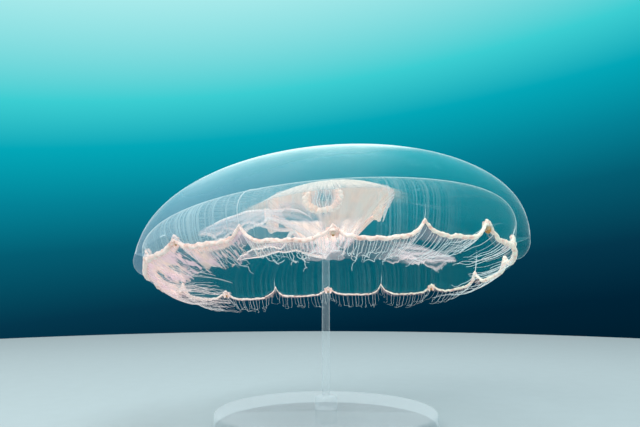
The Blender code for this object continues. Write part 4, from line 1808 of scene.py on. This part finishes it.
@dataclass(frozen=True)
class Gonads:
    """Four pleated horseshoes in the pockets between the arms, with the stomach's threads inside each.

    Low and high are (distance, height) at a horseshoe's closed end and at its open end; tucked holds the
    right one's, which sits further in and higher.
    """

    form: Form
    finish: TissueFinish
    inner: ThreadFinish
    half_width: float = 0.0125
    low: Pair = (0.0455, 0.0405)
    high: Pair = (0.0510, 0.0575)
    tucked: tuple[Pair, Pair] = ((0.0400, 0.0455), (0.0455, 0.0585))
    turn: float = math.radians(-5.0)
    sweep: Pair = (-40.0, 220.0)
    tube: float = 0.0027
    flat: float = 0.75
    steps: int = 260
    sides: int = 16
    pleats: float = 15.0
    pleat: float = 0.0015
    pleat_growth: float = 0.07
    cirri: int = 9
    cirri_steps: int = 12
    cirri_span: float = 0.66
    cirri_thickness: Pair = (0.00042, 0.00022)
    cirri_inset: float = 0.0012
    cirri_wave: float = 0.0006

    def horseshoe(self, quarter: Quarter, sweep: Array, grow: Array) -> Array:
        """Points at an angle round a quarter's horseshoe, its closed end low, grown from its middle.

        Args:
            quarter: The horseshoe's quarter.
            sweep: Angle round its middle.
            grow: How much larger it is there, as a share.

        Returns:
            Points in the animal's frame.
        """
        low, high = self.tucked if quarter is Quarter.RIGHT else (self.low, self.high)
        rise = 0.5 - 0.5 * np.sin(sweep) * (1.0 + grow)
        distance, height = (between(ends, rise) for ends in zip(low, high))
        width = self.half_width * (1.0 + grow) * np.cos(sweep)
        return self.form.inside(distance, quarter.bearing + self.turn + width / distance, height)

    def ribbon(self, quarter: Quarter) -> Surface:
        """One gonad: a tube flattened across its path and thrown into pleats, with painted highlights where
        they bulge.

        Args:
            quarter: The gonad's quarter.

        Returns:
            The ribbon, in the animal's frame.
        """
        sweep = np.radians(np.linspace(*self.sweep, self.steps))
        share = np.linspace(0.0, 1.0, self.steps)
        pleat = np.sin(TURN * self.pleats * share + 1.2 * np.sin(17.0 * share + quarter.value))
        outwards = self.form.polar(1.0, quarter.bearing, 0.0, 0.0)
        swing = outwards * (self.pleat * np.cos(TURN * self.pleats * share))[:, None]
        path = self.horseshoe(quarter, sweep, self.pleat_growth * pleat) + swing
        taper = 0.45 + 0.55 * np.minimum(smooth(0.0, 0.12, share), smooth(1.0, 0.88, share))
        thick = self.tube * taper * (0.82 + 0.22 * np.sin(TURN * self.pleats * 2.0 * share + 1.0))
        # Painted highlights: paler, more opaque flesh where the pleats bulge out.
        lip = 0.4 + 0.4 * pleat
        return threads(path[None], thick[None], self.sides, self.flat, lip=lip, window=0.0, fold=0.5)

    def filaments(self, quarter: Quarter) -> Surface:
        """The stomach's threads: upright, wavy, across the inside of the horseshoe.

        Args:
            quarter: The gonad's quarter.

        Returns:
            The threads.
        """
        share = np.linspace(0.0, 1.0, self.cirri_steps)
        place = np.linspace(-self.cirri_span, self.cirri_span, self.cirri)[:, None]
        own = chance(np.arange(self.cirri)[:, None] + 0.0, 2.0 + quarter.value)[:, None]
        rise = 0.16 + (0.62 + 0.22 * own) * share
        distance, height = (between(ends, rise) for ends in zip(self.low, self.high))
        distance = distance - self.cirri_inset
        wave = self.cirri_wave * np.sin(share * 7.0 + own * 9.0)
        bearing = quarter.bearing + self.turn + (self.half_width * place + wave) / distance
        paths = self.form.place(self.form.inside(distance, bearing, height))
        thick = np.broadcast_to(between(self.cirri_thickness, share), paths.shape[:2])
        return threads(paths, thick, 6, along=share, tint=own)

    def build(self) -> None:
        """Makes one piece for each gonad, and one for all the stomach's threads."""
        finish = self.finish.make(self.form)
        for quarter in Quarter:
            name = quarter.name.lower()
            shape = self.ribbon(quarter)
            shape.points = self.form.place(shape.points)
            add_piece(f"gonad_ribbon_{name}", shape, [finish], [f"gonad_{name}"])
        shape = Surface.joined([self.filaments(quarter) for quarter in Quarter])
        add_piece("stomach_threads", shape, [self.inner.make(self.form)], [])


@dataclass(frozen=True)
class Rhopalia:
    """Eight sense organs: an amber bead in its notch, under a pale hood and between two small lappets.

    Ripe is how amber each bead is, and sizes how large, from the near notch round towards +X.
    """

    form: Form
    finish: SenseFinish
    flesh: GranularFinish
    length: float = 0.0019
    radius: float = 0.0012
    columns: int = 20
    rows: int = 18
    pole_angle: float = 0.12
    grains: Pair = (2.6, 4.0)
    inset: float = 0.0024
    drop: float = 0.0042
    hood: float = 0.0024
    hood_thickness: float = 0.0004
    lappet: Pair = (0.0028, 0.0060)
    lappet_side: float = 0.0027
    lappet_thickness: float = 0.0005
    ripe: tuple[float, ...] = (0.1, 1.0, 0.4, 0.9, 0.8, 0.9, 0.5, 0.2)
    sizes: tuple[float, ...] = (0.9, 1.7, 0.6, 0.9, 0.9, 0.9, 0.9, 0.7)

    def bead(self, bearing: float, level: float, size: float, ripe: float) -> Surface:
        """The bead: an ellipsoid with small grains on it.

        Args:
            bearing: Bearing of the notch.
            level: The rim's height there.
            size: The organ's size, about 1.
            ripe: How amber it is, 0 to 1.

        Returns:
            The bead, in the animal's frame.
        """
        turn = np.arange(self.columns) * TURN / self.columns
        tilt = np.linspace(self.pole_angle, math.pi - self.pole_angle, self.rows)[:, None]
        x, y, z = np.sin(tilt) * np.cos(turn), np.sin(tilt) * np.sin(turn), np.cos(tilt)
        around, upright = self.grains
        rough = size * (1.0 + 0.10 * granules(stacked(around * x, around * y, upright * z), 3.0))
        middle = self.form.rim_radius - self.inset / max(size, 1.0)
        centre = level - self.drop - 0.0010 * (max(size, 1.0) - 1.0)
        out, side, rise = self.radius * rough * x, self.radius * rough * y, self.length * rough * z
        points = self.form.inside(middle + out, bearing + side / middle, centre + rise)
        ends = [self.form.inside(middle, bearing, centre + way * size * self.length) for way in (1.0, -1.0)]
        return Surface.grid(points, True, rise=0.5 + 0.5 * z, ripe=ripe).closed_at_poles(self.columns, *ends)

    def cover(self, bearing: float, level: float, size: float) -> Surface:
        """The hood: a cap over the bead's upper side, open towards the hollow.

        Args:
            bearing: Bearing of the notch.
            level: The rim's height there.
            size: The organ's size, about 1.

        Returns:
            The hood, in the animal's frame.
        """
        turn, tilt = np.meshgrid(np.linspace(-1.7, 1.7, 25), np.linspace(0.05, 1.75, 14))
        middle = self.form.rim_radius - self.inset + 0.0004
        size = self.hood * (0.6 + 0.4 * size) * (1.0 + 0.05 * np.sin(turn * 6.0) * np.sin(tilt))
        out, side = size * 0.8 * np.sin(tilt) * np.cos(turn), size * np.sin(tilt) * np.sin(turn)
        height = level - self.drop + 0.0012 + 0.9 * size * np.cos(tilt)
        points = self.form.inside(middle + out, bearing + side / middle, height)
        grain = 0.5 + 0.5 * np.sin(turn * 9.0)
        return Surface.grid(points, False, grain=grain).thickened(self.hood_thickness)

    def lobe(self, bearing: float, level: float, way: float) -> Surface:
        """A lappet: a leaf that hangs beside the bead, cupped towards it.

        Args:
            bearing: Bearing of the notch.
            level: The rim's height there.
            way: 1 for the lappet at the larger bearing, -1 for the other.

        Returns:
            The lappet, in the animal's frame.
        """
        across, along = np.meshgrid(np.linspace(-1.0, 1.0, 13), np.linspace(0.0, 1.0, 17))
        wide, long = self.lappet
        width = wide / 2.0 * np.sin(math.pi * (0.16 + 0.80 * along)) ** 0.7
        middle = self.form.rim_radius - self.inset + 0.0006
        side = way * (self.lappet_side - 0.0006 * along) + width * across
        inward = 0.0012 * along + 0.0007 * across**2 * (1.0 - along)
        points = self.form.inside(middle - inward, bearing + side / middle, level - 0.0008 - long * along)
        return Surface.grid(points, False, grain=0.6 * along).thickened(self.lappet_thickness)

    def build(self) -> None:
        """Makes all the beads as one piece, and their hoods and lappets as one in the margin's flesh."""
        beads, covers, nodes = [], [], []
        for number, (size, ripe) in enumerate(zip(self.sizes, self.ripe)):
            bearing = number * TURN / len(self.sizes)
            level = float(self.form.rim_level(bearing))
            beads.append(self.bead(bearing, level, size, ripe))
            covers.append(self.cover(bearing, level, size))
            covers += [self.lobe(bearing, level, way) for way in (1.0, -1.0)]
            nodes.append(f"rhopalium_{number + 1}")
        for name, parts, finish, slot, stands in (
            ("sense_beads", beads, self.finish, Slot.SENSE, nodes),
            ("sense_hoods", covers, self.flesh, Slot.MARGIN, []),
        ):
            shape = Surface.joined(parts)
            shape.points = self.form.place(shape.points)
            add_piece(name, shape, [finish.make(self.form)], stands)


@dataclass(frozen=True)
class Stand:
    """The display stand: a round clear base, a collar and one rod up into the mouth."""

    form: Form
    finish: AcrylicFinish
    sides: int = 160
    edge: float = 0.0022
    foot_edge: float = 0.0010
    collar_edge: float = 0.0018
    collar_foot: float = 0.0003
    groove: float = 0.0005
    rod_edge: float = 0.0009
    rod_steps: int = 12

    def turned(self, foot: Array, profile: list[Pair]) -> Surface:
        """A turned solid on its foot's centre, from (radius, height) pairs.

        Args:
            foot: The centre of its foot.
            profile: The profile, from foot to top.

        Returns:
            The closed solid.
        """
        turn = np.arange(self.sides) * TURN / self.sides
        radius, height = np.array(profile).T[:, :, None]
        points = foot + stacked(radius * np.cos(turn), radius * np.sin(turn), height)
        ends = [foot + np.array([0.0, 0.0, profile[end][1]]) for end in (0, -1)]
        return Surface.grid(points, True).closed_at_poles(self.sides, *ends)

    @staticmethod
    def arc(radius: float, height: float, size: float, start: float = 0.0) -> list[Pair]:
        """Six (radius, height) pairs of a rounded edge, a quarter circle from this angle."""
        turns = [start + math.pi / 2.0 * step / 5.0 for step in range(6)]
        return [(radius + size * math.cos(turn), height + size * math.sin(turn)) for turn in turns]

    def base(self, radius: float, tall: float) -> list[Pair]:
        """The base's profile, with a rounded foot and a rounder upper edge."""
        return [
            (radius * 0.02, 0.0), (radius * 0.97, 0.0),
            *self.arc(radius - self.foot_edge, self.foot_edge, self.foot_edge, -math.pi / 2.0),
            *self.arc(radius - self.edge, tall - self.edge, self.edge),
            (radius * 0.95, tall), (radius * 0.13, tall), (radius * 0.02, tall),
        ]

    def collar(self, radius: float, tall: float) -> list[Pair]:
        """The collar's profile, with a shallow groove round it."""
        return [
            (radius * 0.1, 0.0), (radius - self.collar_foot, 0.0), (radius, self.collar_foot),
            (radius, tall * 0.30), (radius - self.groove, tall * 0.33),
            (radius - self.groove, tall * 0.38), (radius, tall * 0.41),
            *self.arc(radius - self.collar_edge, tall - self.collar_edge, self.collar_edge),
            (radius * 0.5, tall), (radius * 0.1, tall),
        ]

    def rod(self, radius: float, tall: float) -> list[Pair]:
        """The rod's profile, rounded at its end."""
        return [
            (radius * 0.1, 0.0), (radius, 0.0),
            *((radius, tall * step / self.rod_steps) for step in range(1, self.rod_steps)),
            *self.arc(radius - self.rod_edge, tall - self.rod_edge, self.rod_edge),
            (radius * 0.1, tall),
        ]

    def build(self) -> None:
        """Makes base, collar and rod, each to its node's own box."""
        finish = self.finish.make(self.form)
        for name, profile in (("base", self.base), ("collar", self.collar), ("rod", self.rod)):
            node = f"stand_{name}"
            low, high = (np.array(corner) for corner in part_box(node))
            middle, size = (low + high) / 2.0, high - low
            foot = np.array([middle[0], middle[1], low[2]])
            shape = self.turned(foot, profile(float(size[0]) / 2.0, float(size[2])))
            add_piece(name, shape, [finish], [node])


@dataclass(frozen=True)
class Lamp:
    """One soft square light."""

    name: str
    place: Triple
    size: float
    power: float
    colour: Colour

    def build(self, target: Vector) -> None:
        """Makes the light, which faces a point.

        Args:
            target: The point that it faces.
        """
        light = bpy.data.lights.new(self.name, "AREA")
        light.size = self.size
        light.energy = self.power
        light.color = self.colour
        made = bpy.data.objects.new(self.name, light)
        bpy.context.scene.collection.objects.link(made)
        made.location = self.place
        made.rotation_euler = (target - Vector(self.place)).to_track_quat("-Z", "Y").to_euler()


@dataclass(frozen=True)
class Studio:
    """Floor, soft lights, a plain graded backdrop of deep water and the camera."""

    form: Form
    stops: tuple[tuple[float, Colour], ...] = (
        (0.0, (0.0, 0.008, 0.018)), (0.19, (0.0, 0.017, 0.038)), (0.31, (0.001, 0.037, 0.072)),
        (0.46, (0.001, 0.108, 0.168)), (0.57, (0.001, 0.223, 0.309)), (0.69, (0.001, 0.386, 0.479)),
        (0.79, (0.045, 0.610, 0.645)), (1.0, (0.40, 0.83, 0.84)),
    )
    backdrop_span: Pair = (-0.20, 0.50)
    backdrop_tilt: float = 0.135
    ambience: Colour = (0.80, 0.85, 0.88)
    ambience_power: float = 0.70
    lamps: tuple[Lamp, ...] = (
        Lamp("key", (-0.75, -0.75, 1.05), 0.7, 14.0, (1.0, 0.98, 0.95)),
        Lamp("top", (0.10, 0.15, 1.30), 0.9, 10.0, (0.92, 0.98, 1.0)),
        Lamp("fill", (0.95, -0.55, 0.35), 0.8, 2.5, (0.90, 0.97, 1.0)),
    )
    floor_radius: float = 1.1
    floor_sides: int = 96
    floor_colour: Colour = (0.36, 0.45, 0.47)
    floor_shade: float = 0.93
    lens: float = 32.34
    clip_start: float = 0.01
    stance: Triple = (-0.0080, -0.4555, -0.0147)
    pitch: float = math.radians(98.0)
    clear_layers: int = 96

    def surroundings(self) -> None:
        """The backdrop, graded by the height of the line of sight, and a soft pale ambience for the light."""
        world = bpy.data.worlds.new("studio")
        bpy.context.scene.world = world
        board = Board(world)
        x, _, z = board.split(board.add("ShaderNodeTexCoord", output="Generated"))
        low, high = self.backdrop_span
        rise = (z - self.backdrop_tilt * x - low) / (high - low)
        grade = board.add("ShaderNodeValToRGB", {"stops": self.stops}, {"Fac": rise}, "Color")
        seen = board.add("ShaderNodeBackground", inputs={"Color": grade, "Strength": 1.0})
        soft = {"Color": (*self.ambience, 1.0), "Strength": self.ambience_power}
        lit = board.add("ShaderNodeBackground", inputs=soft)
        camera = board.add("ShaderNodeLightPath", output="Is Camera Ray")
        mixed = board.add("ShaderNodeMixShader", inputs={0: camera, 1: lit, 2: seen})
        board.end("ShaderNodeOutputWorld", mixed)

    def floor(self) -> None:
        """A plain pale floor, a disc with a soft, even grain."""
        board = Board(bpy.data.materials.new("floor"))
        grain = board.noise(board.model_place(), 60.0, 3.0)
        darker = tuple(self.floor_shade * part for part in self.floor_colour)
        colour = board.blend(grain, darker, self.floor_colour)
        finish = board.finished(Base_Color=colour, Roughness=0.85, Normal=board.bump(grain, 0.1, 0.001))
        turn = np.arange(self.floor_sides) * TURN / self.floor_sides
        rim = stacked(np.cos(turn), np.sin(turn), 0.0) * self.floor_radius
        mesh = bpy.data.meshes.new("floor")
        mesh.from_pydata(rim.tolist(), [], [tuple(range(self.floor_sides))])
        mesh.materials.append(finish)
        made = bpy.data.objects.new("floor", mesh)
        bpy.context.scene.collection.objects.link(made)

    def camera(self) -> None:
        """The camera, low and close, looking up a little."""
        data = bpy.data.cameras.new("camera")
        data.lens = self.lens
        data.clip_start = self.clip_start
        made = bpy.data.objects.new("camera", data)
        bpy.context.scene.collection.objects.link(made)
        made.location = Vector(self.form.rim_centre) + Vector(self.stance)
        made.rotation_euler = (self.pitch, 0.0, 0.0)
        bpy.context.scene.camera = made

    def build(self) -> None:
        """Makes surroundings, floor, lights and camera, and lets light through every clear layer."""
        self.surroundings()
        self.floor()
        for lamp in self.lamps:
            lamp.build(Vector(self.form.rim_centre))
        self.camera()
        bpy.context.scene.view_settings.view_transform = "Standard"
        bpy.context.scene.cycles.transparent_max_bounces = self.clear_layers


def main() -> None:
    """Builds the model and its studio."""
    logging.basicConfig(level=logging.INFO, format="%(name)s %(message)s")
    form = Form()
    # Each finish's glow is painted light, an emission of its own colour.
    margin = GranularFinish(
        "margin_flesh", colour=(0.82, 0.48, 0.40), pale=(1.0, 0.81, 0.73), cream=(0.94, 0.87, 0.72),
        fleck=(0.44, 0.24, 0.18), painted_glow=0.12,
    )
    thread = ThreadFinish(
        "tentacle_thread", colour=(0.80, 0.90, 0.90), tinted=(0.90, 0.76, 0.74), alpha=0.66, painted_glow=0.12,
    )
    oral = TissueFinish(
        "oral_flesh", colour=(0.96, 0.69, 0.56), second=(0.88, 0.70, 0.61), thin=(0.90, 0.76, 0.77),
        lip_colour=(0.98, 0.90, 0.86), alpha=0.84, lip_alpha=0.66, grain=420.0, painted_glow=0.22,
    )
    canal = TissueFinish(
        "canal_flesh", colour=(0.62, 0.80, 0.82), second=(0.52, 0.70, 0.76), thin=(0.60, 0.76, 0.80),
        lip_colour=(0.90, 0.90, 0.90), alpha=0.10, lip_alpha=0.50, grain=500.0, painted_glow=0.10,
    )
    # The gonads' lip colour and lip alpha give their painted highlights.
    gonad = TissueFinish(
        "gonad_flesh", colour=(1.0, 0.75, 0.60), second=(0.90, 0.68, 0.62), thin=(0.70, 0.74, 0.80),
        lip_colour=(1.0, 0.88, 0.78), alpha=0.56, lip_alpha=0.25, grain=700.0, painted_glow=0.20,
    )
    veil = VeilFinish(
        "veil_flesh", colour=(1.0, 0.74, 0.64), second=(0.90, 0.66, 0.70), alpha=0.12, broad_alpha=0.66,
        painted_glow=0.20,
    )
    sense = SenseFinish(
        "sense_organ", amber=(0.62, 0.30, 0.08), spot=(0.20, 0.08, 0.03), cap=(0.80, 0.70, 0.58),
    )
    acrylic = AcrylicFinish(
        "clear_acrylic", colour=(0.72, 0.86, 0.90), roughness=0.04, clear=0.10, edge=0.50,
    )
    jelly = JellyFinish(
        "clear_jelly", colour=(0.0, 0.52, 0.57), white=(0.80, 0.95, 0.95), painted_side_light_colour=(0.40, 0.38, 0.56),
        clear=0.085, limb=1.0, limb_power=24.0, painted_side_light=0.16, bloom=0.32, crown=5.0, painted_glow=0.12,
    )
    lining = LiningFinish(
        "bell_lining", colour=(0.0, 0.42, 0.47), white=(0.92, 0.90, 0.85), painted_side_light_colour=(0.56, 0.68, 0.70),
        milky=(0.94, 0.69, 0.56), clear=0.065, limb=0.95, limb_power=14.0, painted_side_light=0.14, milk=0.40, lines=0.30,
        bloom=0.05, painted_glow=0.13,
    )
    umbrella = Umbrella(form, jelly, lining)
    parts = [
        umbrella,
        Canals(form, canal, umbrella),
        Margin(form, margin),
        Veil(form, veil),
        Fringe(form, thread),
        OralTissue(form, oral, thread),
        Gonads(form, gonad, thread),
        Rhopalia(form, sense, margin),
        Stand(form, acrylic),
        Studio(form),
    ]
    for part in parts:
        part.build()
        LOG.info("built %s", type(part).__name__)
    bpy.context.view_layer.update()


if __name__ == "__main__":
    main()
